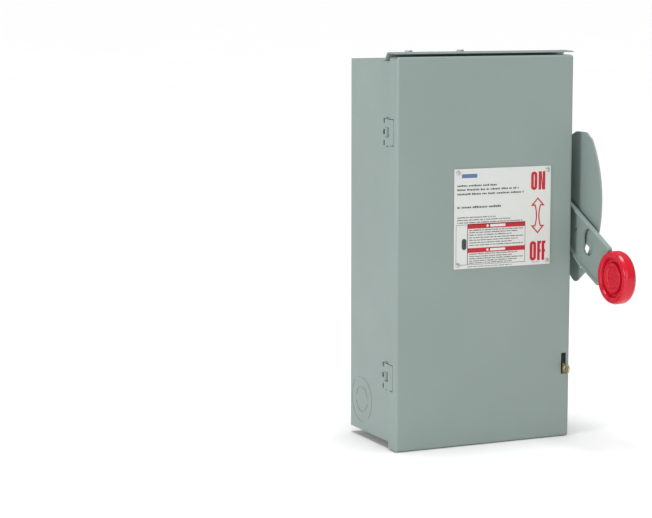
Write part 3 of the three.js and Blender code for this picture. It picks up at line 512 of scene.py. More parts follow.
class Bench:
    """Puts one material's nodes together."""

    def __init__(self, name: str) -> None:
        """Start a material with one shader.

        Args:
            name: Name of the material.
        """
        self.material = bpy.data.materials.new(name)
        self.material.use_nodes = True
        self.tree = self.material.node_tree
        self.tree.nodes.clear()
        output = self.tree.nodes.new("ShaderNodeOutputMaterial")
        self.shader = self.tree.nodes.new("ShaderNodeBsdfPrincipled")
        self.tree.links.new(self.shader.outputs["BSDF"], output.inputs["Surface"])
        self.place = self.tree.nodes.new("ShaderNodeTexCoord").outputs["Object"]

    def wire(self, node: bpy.types.Node, **inputs: object) -> bpy.types.Node:
        """Set a node's inputs, by link or by value, under their names with _ for spaces.

        Args:
            node: Node whose inputs are set.
            inputs: Sockets or values, by input name.

        Returns:
            The same node.
        """
        for key, value in inputs.items():
            socket = node.inputs[key.replace("_", " ")]
            if isinstance(value, bpy.types.NodeSocket):
                self.tree.links.new(value, socket)
            else:
                socket.default_value = value
        return node

    def stretched(self, scale: Sequence[float]) -> bpy.types.NodeSocket:
        """Return the surface's place, stretched along its axes."""
        node = self.wire(self.tree.nodes.new("ShaderNodeMapping"), Vector=self.place, Scale=scale)
        return node.outputs["Vector"]

    def noise(
        self, scale: float, detail: float = 3.0, stretch: Sequence[float] | None = None
    ) -> bpy.types.NodeSocket:
        """Return a noise pattern, from 0 to 1.

        Args:
            scale: Features per metre.
            detail: Octaves of finer noise.
            stretch: Scale along each axis, for grain that runs one way.

        Returns:
            The pattern's value.
        """
        vector = self.stretched(stretch) if stretch else self.place
        node = self.tree.nodes.new("ShaderNodeTexNoise")
        return self.wire(node, Vector=vector, Scale=scale, Detail=detail).outputs["Fac"]

    def cells(self, scale: float) -> bpy.types.NodeSocket:
        """Return a pattern of crystal-like cells, from 0 to 1."""
        node = self.tree.nodes.new("ShaderNodeTexVoronoi")
        return self.wire(node, Vector=self.place, Scale=scale).outputs["Color"]

    def span(
        self, value: bpy.types.NodeSocket, low: float, high: float, start: float = 0.3, stop: float = 0.7
    ) -> bpy.types.NodeSocket:
        """Return a pattern spread between two values.

        Args:
            value: Pattern that is spread.
            low: Result at start.
            high: Result at stop.
            start: Pattern value that gives low.
            stop: Pattern value that gives high.

        Returns:
            The new value.
        """
        node = self.tree.nodes.new("ShaderNodeMapRange")
        self.wire(node, Value=value, From_Min=start, From_Max=stop, To_Min=low, To_Max=high)
        return node.outputs["Result"]

    def blend(
        self, factor: bpy.types.NodeSocket, first: Colour | bpy.types.NodeSocket, second: Colour
    ) -> bpy.types.NodeSocket:
        """Return a colour between two, by a factor.

        Args:
            factor: Share of the second colour.
            first: Colour or socket at 0.
            second: Colour or socket at 1.

        Returns:
            The mixed colour's socket.
        """
        node = self.tree.nodes.new("ShaderNodeMix")
        node.data_type = "RGBA"
        self.tree.links.new(factor, node.inputs["Factor"])
        for socket, colour in ((node.inputs[6], first), (node.inputs[7], second)):
            if isinstance(colour, bpy.types.NodeSocket):
                self.tree.links.new(colour, socket)
            else:
                socket.default_value = (*colour, 1)
        return node.outputs[2]

    def edges(self, radius: float) -> bpy.types.NodeSocket:
        """Return a mask that is 1 on edges sharper than a radius and 0 on flat faces.

        Args:
            radius: How far from an edge the mask reaches, in metres.

        Returns:
            The mask's socket.
        """
        worn = self.wire(self.tree.nodes.new("ShaderNodeBevel"), Radius=radius)
        worn.samples = 4
        true = self.tree.nodes.new("ShaderNodeNewGeometry")
        dot = self.tree.nodes.new("ShaderNodeVectorMath")
        dot.operation = "DOT_PRODUCT"
        self.tree.links.new(worn.outputs["Normal"], dot.inputs[0])
        self.tree.links.new(true.outputs["Normal"], dot.inputs[1])
        return self.span(dot.outputs["Value"], 1.0, 0.0, 0.86, 0.99)

    def bump(self, height: bpy.types.NodeSocket, depth: float, strength: float = 1.0) -> None:
        """Add relief of a real depth to the shader, over any relief it already has.

        Args:
            height: Socket with the relief, 0 to 1.
            depth: Real depth of the relief, in metres.
            strength: Share of the relief that shows.
        """
        node = self.tree.nodes.new("ShaderNodeBump")
        self.wire(node, Height=height, Distance=depth, Strength=strength)
        socket = self.shader.inputs["Normal"]
        if socket.is_linked:
            self.tree.links.new(socket.links[0].from_socket, node.inputs["Normal"])
        self.tree.links.new(node.outputs["Normal"], socket)

    def surface(self, **inputs: object) -> None:
        """Set the shader's own inputs."""
        self.wire(self.shader, **inputs)


def toned(colour: Colour, factor: float) -> Colour:
    """Return a colour made lighter or darker."""
    return tuple(channel * factor for channel in colour)


@dataclass(frozen=True)
class PowderPaint:
    """Satin powder paint on sheet steel: orange peel, soft unevenness, and paler edges: painted edge
    highlight together with scuffed, worn paint.
    """

    colour: Colour = (0.268, 0.332, 0.314)
    # Paler edge colour: painted edge highlight together with scuffed, worn paint.
    worn: Colour = (0.42, 0.48, 0.46)
    roughness: tuple[float, float] = (0.4, 0.5)
    peel: float = 0.00002
    sheen_and_wear: float = 0.35

    def material(self, name: str) -> bpy.types.Material:
        """Build the paint.

        Args:
            name: Name of the material.

        Returns:
            The material.
        """
        bench = Bench(name)
        broad = bench.noise(7.0, 3.0)
        fine = bench.noise(420.0, 2.0)
        tone = bench.blend(bench.span(broad, 0, 1), toned(self.colour, 0.965), toned(self.colour, 1.035))
        speck = bench.blend(bench.span(fine, 0, 0.25, 0.6, 0.75), tone, toned(self.colour, 0.9))
        # Edges blended towards the paler colour, broken up by noise: painted edge highlight together with
        # scuffed, worn paint.
        sheen_and_wear_pattern = bench.span(bench.noise(160.0, 4.0), 0.1, self.sheen_and_wear)
        mask = bench.tree.nodes.new("ShaderNodeMath")
        mask.operation = "MULTIPLY"
        bench.tree.links.new(bench.edges(0.0007), mask.inputs[0])
        bench.tree.links.new(sheen_and_wear_pattern, mask.inputs[1])
        bench.surface(
            Base_Color=bench.blend(mask.outputs[0], speck, self.worn),
            Roughness=bench.span(bench.noise(30.0, 4.0), *self.roughness),
            Specular_IOR_Level=0.42,
        )
        bench.bump(bench.noise(45.0, 2.0), 0.00012, 0.5)
        bench.bump(bench.noise(900.0, 2.0), self.peel)
        return bench.material


@dataclass(frozen=True)
class Plating:
    """Thin bright plating on steel, with a faint spangle and rolled grain."""

    colour: Colour
    tint: Colour
    roughness: tuple[float, float] = (0.26, 0.42)
    grain: tuple[float, float, float] = (1.0, 1.0, 14.0)

    def material(self, name: str) -> bpy.types.Material:
        """Build the plating.

        Args:
            name: Name of the material.

        Returns:
            The material.
        """
        bench = Bench(name)
        cloud = bench.span(bench.noise(90.0, 4.0), 0, 1)
        tone = bench.blend(cloud, self.colour, self.tint)
        spangle = bench.span(bench.cells(350.0), 0, 0.3, 0, 1)
        bench.surface(
            Base_Color=bench.blend(spangle, tone, toned(self.colour, 0.8)),
            Metallic=1.0,
            Roughness=bench.span(bench.noise(260.0, 3.0, self.grain), *self.roughness),
        )
        bench.bump(bench.noise(500.0, 3.0, self.grain), 0.00001)
        return bench.material


@dataclass(frozen=True)
class Moulding:
    """Moulded insulation: dark, mottled by its filler, with a fine matt skin."""

    colour: Colour = (0.018, 0.017, 0.016)
    fleck: Colour = (0.06, 0.055, 0.048)

    def material(self, name: str) -> bpy.types.Material:
        """Build the moulding compound.

        Args:
            name: Name of the material.

        Returns:
            The material.
        """
        bench = Bench(name)
        flecks = bench.span(bench.noise(900.0, 4.0), 0, 0.6, 0.58, 0.72)
        swirl = bench.span(bench.noise(40.0, 4.0), 0, 0.5)
        body = bench.blend(swirl, self.colour, toned(self.colour, 1.8))
        bench.surface(
            Base_Color=bench.blend(flecks, body, self.fleck),
            Roughness=bench.span(bench.noise(120.0, 3.0), 0.38, 0.55),
            Specular_IOR_Level=0.5,
        )
        bench.bump(bench.noise(1400.0, 2.0), 0.00002)
        return bench.material


@dataclass(frozen=True)
class KnobEnamel:
    """Glossy red plastic of the knob, faintly rippled by its mould and scuffed on its rims."""

    colour: Colour = (0.58, 0.004, 0.022)
    scuff: Colour = (0.6, 0.05, 0.06)

    def material(self, name: str) -> bpy.types.Material:
        """Build the plastic.

        Args:
            name: Name of the material.

        Returns:
            The material.
        """
        bench = Bench(name)
        tone = bench.blend(bench.span(bench.noise(55.0, 3.0), 0, 1), self.colour, toned(self.colour, 1.12))
        mask = bench.span(bench.noise(300.0, 5.0), 0, 0.4, 0.55, 0.7)
        worn = bench.tree.nodes.new("ShaderNodeMath")
        worn.operation = "MULTIPLY"
        bench.tree.links.new(bench.edges(0.0012), worn.inputs[0])
        bench.tree.links.new(mask, worn.inputs[1])
        bench.surface(
            Base_Color=bench.blend(worn.outputs[0], tone, self.scuff),
            Roughness=bench.span(bench.noise(180.0, 4.0), 0.2, 0.3),
            Specular_IOR_Level=0.45,
        )
        bench.bump(bench.noise(60.0, 2.0), 0.00015, 0.5)
        return bench.material


@dataclass(frozen=True)
class PlateStock:
    """Printed aluminium plate: satin white coat over faint brushed grain."""

    colour: Colour = (0.7, 0.72, 0.69)
    grain: tuple[float, float, float] = (1.0, 1.0, 30.0)
    roughness: tuple[float, float] = (0.34, 0.46)

    def material(self, name: str) -> bpy.types.Material:
        """Build the coated plate.

        Args:
            name: Name of the material.

        Returns:
            The material.
        """
        bench = Bench(name)
        brushed = bench.noise(220.0, 3.0, self.grain)
        soiled = bench.span(bench.noise(26.0, 4.0), 0, 0.5, 0.45, 0.8)
        tone = bench.blend(bench.span(brushed, 0, 1), toned(self.colour, 0.97), toned(self.colour, 1.02))
        bench.surface(
            Base_Color=bench.blend(soiled, tone, toned(self.colour, 0.93)),
            Roughness=bench.span(brushed, *self.roughness),
        )
        bench.bump(brushed, 0.000006)
        return bench.material


@dataclass(frozen=True)
class PrintInk:
    """Screen-printed ink, a little uneven in tone."""

    colour: Colour
    spread: float = 0.12

    def material(self, name: str) -> bpy.types.Material:
        """Build the ink.

        Args:
            name: Name of the material.

        Returns:
            The material.
        """
        bench = Bench(name)
        mottled = bench.span(bench.noise(700.0, 3.0), 0, 1)
        low, high = toned(self.colour, 1 - self.spread), toned(self.colour, 1 + self.spread)
        bench.surface(
            Base_Color=bench.blend(mottled, low, high),
            Roughness=bench.span(bench.noise(300.0, 2.0), 0.35, 0.5),
        )
        bench.bump(bench.noise(1200.0, 2.0), 0.000008)
        return bench.material


@dataclass(frozen=True)
class FusePaper:
    """Wound, varnished fibre tube of a fuse, with its winding marks round it."""

    colour: Colour = (0.5, 0.36, 0.2)
    winding: float = 220.0

    def material(self, name: str) -> bpy.types.Material:
        """Build the fibre.

        Args:
            name: Name of the material.

        Returns:
            The material.
        """
        bench = Bench(name)
        winding = bench.noise(self.winding, 4.0, (0.2, 0.2, 3.0))
        fibre = bench.noise(1500.0, 3.0, (1.0, 1.0, 0.25))
        tone = bench.blend(bench.span(winding, 0, 1), toned(self.colour, 0.86), toned(self.colour, 1.1))
        bench.surface(
            Base_Color=bench.blend(bench.span(fibre, 0, 0.35, 0.5, 0.75), tone, toned(self.colour, 0.6)),
            Roughness=bench.span(winding, 0.42, 0.58),
        )
        bench.bump(winding, 0.00004)
        bench.bump(fibre, 0.00001)
        return bench.material


@dataclass(frozen=True)
class StudioSweep:
    """Plain pale studio floor."""

    colour: Colour = (0.93, 0.93, 0.93)

    def material(self, name: str) -> bpy.types.Material:
        """Build the floor's paint.

        Args:
            name: Name of the material.

        Returns:
            The material.
        """
        bench = Bench(name)
        cloud = bench.span(bench.noise(2.0, 2.0), 0, 1)
        bench.surface(
            Base_Color=bench.blend(cloud, self.colour, toned(self.colour, 1.01)),
            Roughness=0.85,
            Specular_IOR_Level=0.1,
        )
        return bench.material


class Coat(Enum):
    """Finish of a piece, named as the record's material slot."""

    PAINT = "box_paint"
    ZINC = "bright_zinc"
    YELLOW = "yellow_zinc"
    PLATE = "label_plate"
    RED = "knob_red"
    COPPER = "tin_copper"
    MOULDING = "insulation"
    FUSE = "fuse_tube"


class Ink(Enum):
    """Colour of a print on a plate."""

    RED = (0.5, 0.008, 0.022)
    DARK = (0.045, 0.05, 0.05)
    GREY = (0.2, 0.22, 0.22)
    BLUE = (0.1, 0.17, 0.36)
    WHITE = (0.75, 0.75, 0.73)


@dataclass
class Finishes:
    """Every finish of the switch, built once and handed out by name."""

    coats: dict[Coat, object] = field(
        default_factory=lambda: {
            Coat.PAINT: PowderPaint(),
            Coat.ZINC: Plating((0.56, 0.58, 0.59), (0.66, 0.67, 0.66)),
            Coat.YELLOW: Plating((0.62, 0.47, 0.2), (0.52, 0.5, 0.3), (0.24, 0.38)),
            Coat.PLATE: PlateStock(),
            Coat.RED: KnobEnamel(),
            Coat.COPPER: Plating((0.6, 0.55, 0.48), (0.66, 0.6, 0.5), (0.24, 0.36)),
            Coat.MOULDING: Moulding(),
            Coat.FUSE: FusePaper(),
        }
    )
    built: dict[Enum, bpy.types.Material] = field(default_factory=dict)

    def of(self, kind: Coat | Ink) -> bpy.types.Material:
        """Return the material of a coat or an ink.

        Args:
            kind: Coat or ink that is asked for.

        Returns:
            Its material, made once.
        """
        if kind not in self.built:
            finish = PrintInk(kind.value) if isinstance(kind, Ink) else self.coats[kind]
            self.built[kind] = finish.material(f"{type(kind).__name__.lower()}_{kind.name.lower()}")
        return self.built[kind]


# ---- Sub-assemblies ----


@dataclass
class SubAssembly:
    """A group of pieces that belong together on one moving body of the switch."""

    finishes: Finishes
    body: str = "box"
    made: list[str] = field(default_factory=list)

    def add(
        self,
        obj: bpy.types.Object,
        coat: Coat,
        replaces: Sequence[str] = (),
        ink: Ink | None = None,
        body: str | None = None,
    ) -> bpy.types.Object:
        """Dress a new piece and fix it to its body.

        Args:
            obj: The finished mesh.
            coat: Finish of the piece.
            replaces: CAD nodes that the piece stands for.
            ink: Print colour, where the piece is a print on that finish.
            body: Body the piece rides on, if not the sub-assembly's own.

        Returns:
            The piece.
        """
        obj.data.materials.clear()
        obj.data.materials.append(self.finishes.of(ink or coat))
        soften(obj)
        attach(obj, body or self.body)
        if replaces:
            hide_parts(*replaces)
        self.made.append(obj.name)
        return obj

    def carry(self, node: str, coat: Coat, edge: float = 0.0004) -> None:
        """Keep a CAD node, with eased edges and a proper finish.

        Args:
            node: Name of the CAD node.
            coat: Its finish.
            edge: Radius its edges are eased to.
        """
        obj = frame["nodes"][node]
        for material_slot in obj.material_slots:
            material_slot.material = self.finishes.of(coat)
        weld = obj.modifiers.new("weld", "WELD")
        weld.merge_threshold = 1e-6
        flat = obj.modifiers.new("flat_faces", "DECIMATE")
        flat.decimate_type = "DISSOLVE"
        flat.angle_limit = math.radians(0.6)
        ease = obj.modifiers.new("eased_edges", "BEVEL")
        ease.width = edge
        ease.segments = 2
        ease.limit_method = "ANGLE"
        ease.angle_limit = math.radians(35)
        ease.harden_normals = False
        soften(obj, 28.0)
        self.made.append(node)

    def report(self) -> None:
        """Log the pieces that were made."""
        LOG.info("%s: %d pieces: %s", type(self).__name__, len(self.made), ", ".join(self.made))


@dataclass
class Knockout:
    """Two concentric discs, scored almost through a wall and held by small tabs."""

    inner: float = 0.014
    outer: float = 0.025
    groove: float = 0.0013
    depth: float = 0.0004
    proud: float = 0.0002
    tab: float = 24.0

    def grooves(self, axis: Axis, centre: Point, surface: float, outward: int) -> list[bpy.types.Object]:
        """Build the cutters of both broken rings.

        Args:
            axis: Direction square to the wall.
            centre: Centre of the discs in the wall's plane.
            surface: Where the wall's outer face is along the axis.
            outward: +1 or -1, the way the face looks along the axis.

        Returns:
            Four ring sectors that reach the groove's depth into the wall.
        """
        ends = sorted((surface - outward * self.depth, surface + outward * 0.001))
        cutters = []
        for ring, radius in enumerate((self.inner, self.outer)):
            for half in (0, 180):
                start = half + self.tab / 2 + ring * 60
                stop = start + 180 - self.tab
                path = turn(centre, radius + self.groove / 2, start, stop, 40)
                path += turn(centre, radius - self.groove / 2, stop, start, 40)
                cutters.append(plate("groove", [path], axis, *ends))
        return cutters

    def disc(self, axis: Axis, centre: Point, surface: float, outward: int) -> bpy.types.Object:
        """Build the inner disc, pressed a hair proud of the wall.

        Args:
            axis: The wall's normal.
            centre: Centre of the knockout in the wall's plane.
            surface: Where the wall's outer face is along the axis.
            outward: 1 or -1, the way out of the wall.

        Returns:
            The disc.
        """
        ends = sorted((surface - outward * self.depth, surface + outward * self.proud))
        edges = (0.0, 0.00025) if outward > 0 else (0.00025, 0.0)
        disc = circle(centre, self.inner - self.groove / 2 - 0.0001, 72)
        return plate("disc", [disc], axis, *ends, edges)


@dataclass
class HexScrew:
    """Slotted hexagon-head screw with a washer face."""

    flats: float = 0.008
    head: float = 0.0045
    washer: float = 0.0011
    washer_rim: float = 0.0009
    shank: float = 0.0024
    length: float = 0.008
    slot_width: float = 0.0011
    slot_depth: float = 0.0016

    def build(self, name: str, axis: Axis, seat: Sequence[float]) -> bpy.types.Object:
        """Build the screw, with its head up the axis from the seat.

        Args:
            name: Name of the piece.
            axis: The screw's own axis.
            seat: Point under the middle of the head.

        Returns:
            The screw.
        """
        reach = self.flats / math.sqrt(3)
        centre = axis.section(seat)
        base = axis.along(seat)
        head = plate("head", [circle(centre, reach, 6)], axis, base + self.washer / 2, base + self.head)
        cone = [(0, -0.001), (reach * 1.2, -0.001), (reach * 1.2, self.head - 0.0011)]
        cone += [(self.flats / 2 - 0.0002, self.head), (0, self.head)]
        combine(head, [lathe("cone", cone, axis, seat, 48)], "INTERSECT")
        half = self.slot_width / 2
        u, v = centre
        cut = rectangle((u - reach * 1.5, v - half), (u + reach * 1.5, v + half))
        top = base + self.head
        combine(head, [plate("cut", [cut], axis, top - self.slot_depth, top + 0.001)])
        rim = reach + self.washer_rim
        point = 0.0006
        turned = [(0, -self.length), (self.shank - point, -self.length), (self.shank, point - self.length)]
        turned += [(self.shank, 0), (rim - 0.0002, 0), (rim, 0.0003), (rim - 0.0003, self.washer)]
        combine(head, [lathe("washer", [*turned, (0, self.washer)], axis, seat, 48)], "UNION")
        head.name = name
        return head


@dataclass
class Enclosure(SubAssembly):
    """Folded wrapper sheet with its knockouts, and the two end walls."""

    sheet: float = 0.0015
    bend: float = 0.003
    lip: float = 0.0004
    knockout: Knockout = field(default_factory=Knockout)
    knockout_y: float = -0.031
    knockout_rise: float = 0.0345
    mount_hole: float = 0.004
    mount_rise: float = 0.03
    mount_inset: float = 0.014
    bushing_hole: float = 0.0106
    screw_hole: float = 0.0027
    slot_ease: float = 0.0006
    slot_run: float = 0.0005
    slot_front: float = 0.0084
    slot_rear: float = 0.0044
    curl_slot: float = 0.0052
    curl_reach: float = 0.0044
    pin_slot: float = 0.0022
    heel_slot: float = 0.0027
    heel_reach: float = 0.01
    rear_corner: float = 0.0025

    def build(self) -> None:
        """Build the wrapper and keep the end walls."""
        box = Extent.of("enclosure_wrapper")
        x, front = box.high.x, box.low.y
        inner = x - self.sheet
        plan = rounded(
            [
                (-x, front, self.lip),
                (-inner, front, self.lip),
                (-inner, -self.sheet, self.bend - self.sheet),
                (inner, -self.sheet, self.bend - self.sheet),
                (inner, front, self.lip),
                (x, front, self.lip),
                (x, 0, self.bend),
                (-x, 0, self.bend),
            ]
        )
        wrapper = plate("box_wrapper", [plan], Axis.Z, box.low.z, box.high.z, self.lip, 2)
        spot = (self.knockout_y, box.low.z + self.knockout_rise)
        combine(wrapper, [self.corner_cutter(box, end) for end in (-1, 1)])
        combine(wrapper, self.openings(box))
        for side in (-1, 1):
            combine(wrapper, self.knockout.grooves(Axis.X, spot, side * x, side))
            combine(wrapper, [self.knockout.disc(Axis.X, spot, side * x, side)], "UNION")
        self.add(wrapper, Coat.PAINT, ["enclosure_wrapper"])
        self.carry("top_endwall", Coat.PAINT)
        self.carry("bottom_endwall", Coat.PAINT, 0.0002)

    def corner_cutter(self, box: Extent, end: int) -> bpy.types.Object:
        """Build what rounds the wrapper's rear corner at one end.

        Args:
            box: The wrapper's box.
            end: 1 for the top and -1 for the bottom.

        Returns:
            The cutter, with its hollow side towards the wrapper.
        """
        r, run, clear = self.rear_corner, 0.001, 0.00004
        level = box.high.z if end > 0 else box.low.z
        arc = turn((clear - r, level - end * (r - clear)), r, 0, end * 90, 10)
        outline = [(run, arc[0][1]), *arc, (arc[-1][0], level + end * run), (run, level + end * run)]
        return plate("corner", [outline[::end]], Axis.X, box.low.x - run, box.high.x + run)

    def openings(self, box: Extent) -> list[bpy.types.Object]:
        """Build the cutters of the hinge slots and of every hole in the wrapper.

        Args:
            box: The wrapper's box.

        Returns:
            The cutters.
        """
        x = box.high.x
        inner = x - self.sheet
        tools = [tool for which in HINGES for tool in self.hinge_slots(which, -x)]
        low, high = box.low.z + self.mount_rise, box.high.z - self.mount_rise
        side = inner - self.mount_inset
        for hole in ((0, high), (-side, low), (side, low)):
            outline = circle(hole, self.mount_hole)
            tools.append(plate("mount", [outline], Axis.Y, -self.sheet - 0.001, 0.001))
        shaft = Vector(JOINTS["handle_throw"]["pos_m"])
        right = (inner - 0.001, x + 0.001)
        tools.append(plate("bore", [circle(Axis.X.section(shaft), self.bushing_hole)], Axis.X, *right))
        for i in (1, 2):
            spot = Axis.X.section(Extent.of(f"quadrant_screw_{i}").middle)
            tools.append(plate("hole", [circle(spot, self.screw_hole)], Axis.X, *right))
        return tools

    def hinge_slots(self, which: str, wall: float) -> list[bpy.types.Object]:
        """Build the cutters of one hinge's slots in the left wall.

        Args:
            which: The upper or the lower hinge.
            wall: Where the wall's outer face is along X.

        Returns:
            The leaf's slot, the pin's, and those behind the knuckle and the curls.
        """
        pin = Extent.of(f"hinge_pin_{which}")
        leaf = Extent.of(f"hinge_leaf_{which}")
        y, z = pin.middle.y, leaf.middle.z
        half = leaf.size.z / 2 + self.slot_run
        through = (wall - 0.001, wall + self.sheet + 0.001)
        front, rear = y - self.slot_front, y + self.slot_rear
        ends = (pin.low.z - self.slot_run, pin.high.z + self.slot_run)
        outlines = [
            rectangle((front, z - half), (rear, z + half), self.slot_ease),
            rectangle((y - self.pin_slot, ends[0]), (y + self.pin_slot, ends[1]), 0.0009),
            rectangle((y, z - self.heel_slot), (y + self.heel_reach, z + self.heel_slot), self.slot_ease),
        ]
        for sign in (-1, 1):
            foot, top = sorted((z + sign * (half - self.curl_slot), z + sign * half))
            outlines.append(rectangle((y, foot), (rear + self.curl_reach, top), self.slot_ease))
        return [plate("slot", [outline], Axis.X, *through) for outline in outlines]


@dataclass
class RainHood(SubAssembly):
    """Folded hood over the door: foot, leaning upright and visor."""

    sheet: float = 0.0012
    foot: float = 0.011
    slant: float = 0.007
    fall: float = 0.0008
    bend: float = 0.0011

    def build(self) -> None:
        """Build the hood as one folded sheet."""
        box = Extent.of("rain_hood")
        half = self.sheet / 2
        heel = box.high.y - self.foot
        path = [
            (box.high.y, box.low.z + half),
            (heel - half, box.low.z + half, self.bend),
            (heel - self.slant, box.high.z - half, self.bend),
            (box.low.y, box.high.z - self.fall - half),
        ]
        section = sheet_section(path, self.sheet)
        hood = plate("hood_sheet", [section], Axis.X, box.low.x, box.high.x, 0.0003, 2)
        self.add(hood, Coat.PAINT, ["rain_hood"])


@dataclass
class HubCover(SubAssembly):
    """Cover plate over the conduit hub's opening, with a stamped dome and four screws."""

    radius: float = 0.024
    plate_edge: float = 0.0005
    corner: float = 0.005
    sheet: float = 0.002
    rise: float = 0.0022
    hole: float = 0.0027
    screw: HexScrew = field(default_factory=lambda: HexScrew(head=0.0056))

    def build(self) -> None:
        """Build the cover and its screws."""
        box = Extent.of("hub_cover_plate")
        centre = box.middle
        top = box.low.z + self.sheet
        outline = rectangle((box.low.x, box.low.y), (box.high.x, box.high.y), self.corner)
        holes = [circle(Axis.Z.section(Extent.of(f"hub_screw_{i}").middle), self.hole, 32) for i in CORNERS]
        well = circle((centre.x, centre.y), self.radius, 96)
        cover = plate("hub_cover", [outline, *holes, well], Axis.Z, box.low.z, top, self.plate_edge)
        r, low, high = self.radius, box.low.z, top + self.rise
        dome = [
            (r + 0.0008, low + 0.0006),
            (r + 0.0008, top - 0.0004, 0.0003),
            (r + 0.0004, top - 0.0002, 0.0008),
            (r - 0.002, high, 0.0018),
            (0, high),
            (0, high - 0.0015),
            (r - 0.0032, high - 0.0015, 0.0008),
            (r - 0.0012, low + 0.0006),
        ]
        closed = [*reversed(dome[5:]), *reversed(dome[:5])]
        shell = lathe("dome", closed, Axis.Z, (centre.x, centre.y, 0), 96)
        combine(cover, [shell], "UNION")
        self.add(cover, Coat.PAINT, ["hub_cover_plate"])
        for i in CORNERS:
            place = Extent.of(f"hub_screw_{i}")
            seat = (place.middle.x, place.middle.y, place.high.z - self.screw.head)
            self.add(self.screw.build(f"cover_screw_{i}", Axis.Z, seat), Coat.ZINC, [f"hub_screw_{i}"])


@dataclass
class Hinges(SubAssembly):
    """Two hinges: curled leaves let into the door's flange, knuckles on the box, and headed pins."""

    sheet: float = 0.0015
    barrel: float = 0.0031
    pin: float = 0.0016
    run: float = 0.0003
    middle: float = 0.01
    strap: float = 0.024
    leaf_corner: float = 0.0015
    window: float = 0.0086

    def build(self) -> None:
        """Build both hinges."""
        for which in HINGES:
            self.build_leaf(which)
            self.build_knuckle(which)
            self.build_pin(which)

    def axis_at(self, which: str) -> Vector:
        """Return the middle of a hinge's pin."""
        anchor = JOINTS["door_swing"]["pos_m"]
        return Vector((anchor[0], anchor[1], Extent.of(f"hinge_leaf_{which}").middle.z))

    def build_leaf(self, which: str) -> None:
        """Build one leaf, curled round the pin, with the middle of its curl cut out.

        Args:
            which: The upper or the lower hinge.
        """
        box = Extent.of(f"hinge_leaf_{which}")
        pin = self.axis_at(which)
        radius = self.barrel - self.sheet / 2
        line = box.low.x + self.sheet / 2
        path = [(line, box.low.y), (line, pin.y)]
        path += turn((line + radius, pin.y), radius, 172, -116, 30)
        section = sheet_section(path, self.sheet)
        leaf = plate(f"door_leaf_{which}", [section], Axis.Z, box.low.z, box.high.z, 0.0002, 2)
        half = self.middle / 2 + self.run
        gap = block(
            "gap",
            (box.low.x - 0.001, pin.y - self.window, pin.z - half),
            (box.high.x + 0.001, pin.y + self.barrel + 0.001, pin.z + half),
        )
        corners = []
        for edge, sign in ((box.low.z, 1), (box.high.z, -1)):
            ease = rounded(
                [
                    (box.low.y - 0.001, edge - sign * 0.001),
                    (box.low.y + self.leaf_corner * 2, edge - sign * 0.001),
                    (box.low.y + self.leaf_corner * 2, edge),
                    (box.low.y + self.leaf_corner * 1.0, edge),
                    (box.low.y, edge + sign * self.leaf_corner),
                    (box.low.y - 0.001, edge + sign * self.leaf_corner),
                ]
            )
            corners.append(plate("ease", [ease], Axis.X, box.low.x - 0.001, box.low.x + self.sheet + 0.001))
        combine(leaf, [gap, *corners])
        self.add(leaf, Coat.PAINT, [f"hinge_leaf_{which}"], body="door")

    def build_knuckle(self, which: str) -> None:
        """Build the box's middle knuckle and the strap that holds it inside the wall.

        Args:
            which: The upper or the lower hinge.
        """
        box = Extent.of(f"hinge_knuckle_{which}")
        pin = self.axis_at(which)
        half = self.middle / 2
        bore = self.pin + self.run
        ring = [(bore, -half), (self.barrel, -half, 0.0003), (self.barrel, half, 0.0003), (bore, half)]
        knuckle = lathe(f"box_knuckle_{which}", ring, Axis.Z, pin, 48)
        inside = box.high.x
        width = inside - (pin.x + self.barrel - self.sheet)
        neck = block(
            "neck",
            (inside - width, pin.y + 0.0019, pin.z - half + 0.0002),
            (inside, pin.y + 0.012, pin.z + half - 0.0002),
            0.0002,
        )
        strap = block(
            "strap",
            (inside - min(width, 0.0018), pin.y + 0.0062, pin.z - self.strap / 2),
            (inside, box.high.y, pin.z + self.strap / 2),
            0.0002,
        )
        combine(knuckle, [neck, strap], "UNION")
        self.add(knuckle, Coat.PAINT, [f"hinge_knuckle_{which}"])

    def build_pin(self, which: str) -> None:
        """Build the pin, with a rounded head and a chamfered tail.

        Args:
            which: The upper or the lower hinge.
        """
        box = Extent.of(f"hinge_pin_{which}")
        pin = self.axis_at(which)
        top, foot = box.high.z - pin.z, box.low.z - pin.z
        profile = [
            (0, foot),
            (self.pin - 0.0005, foot),
            (self.pin, foot + 0.0005),
            (self.pin, top - 0.0011),
            (self.pin + 0.0009, top - 0.0011),
            (self.pin + 0.0009, top - 0.0006, 0.0002),
            (self.pin, top, 0.0004),
            (0, top),
        ]
        self.add(lathe(f"pin_{which}", profile, Axis.Z, pin, 40), Coat.PAINT, [f"hinge_pin_{which}"])


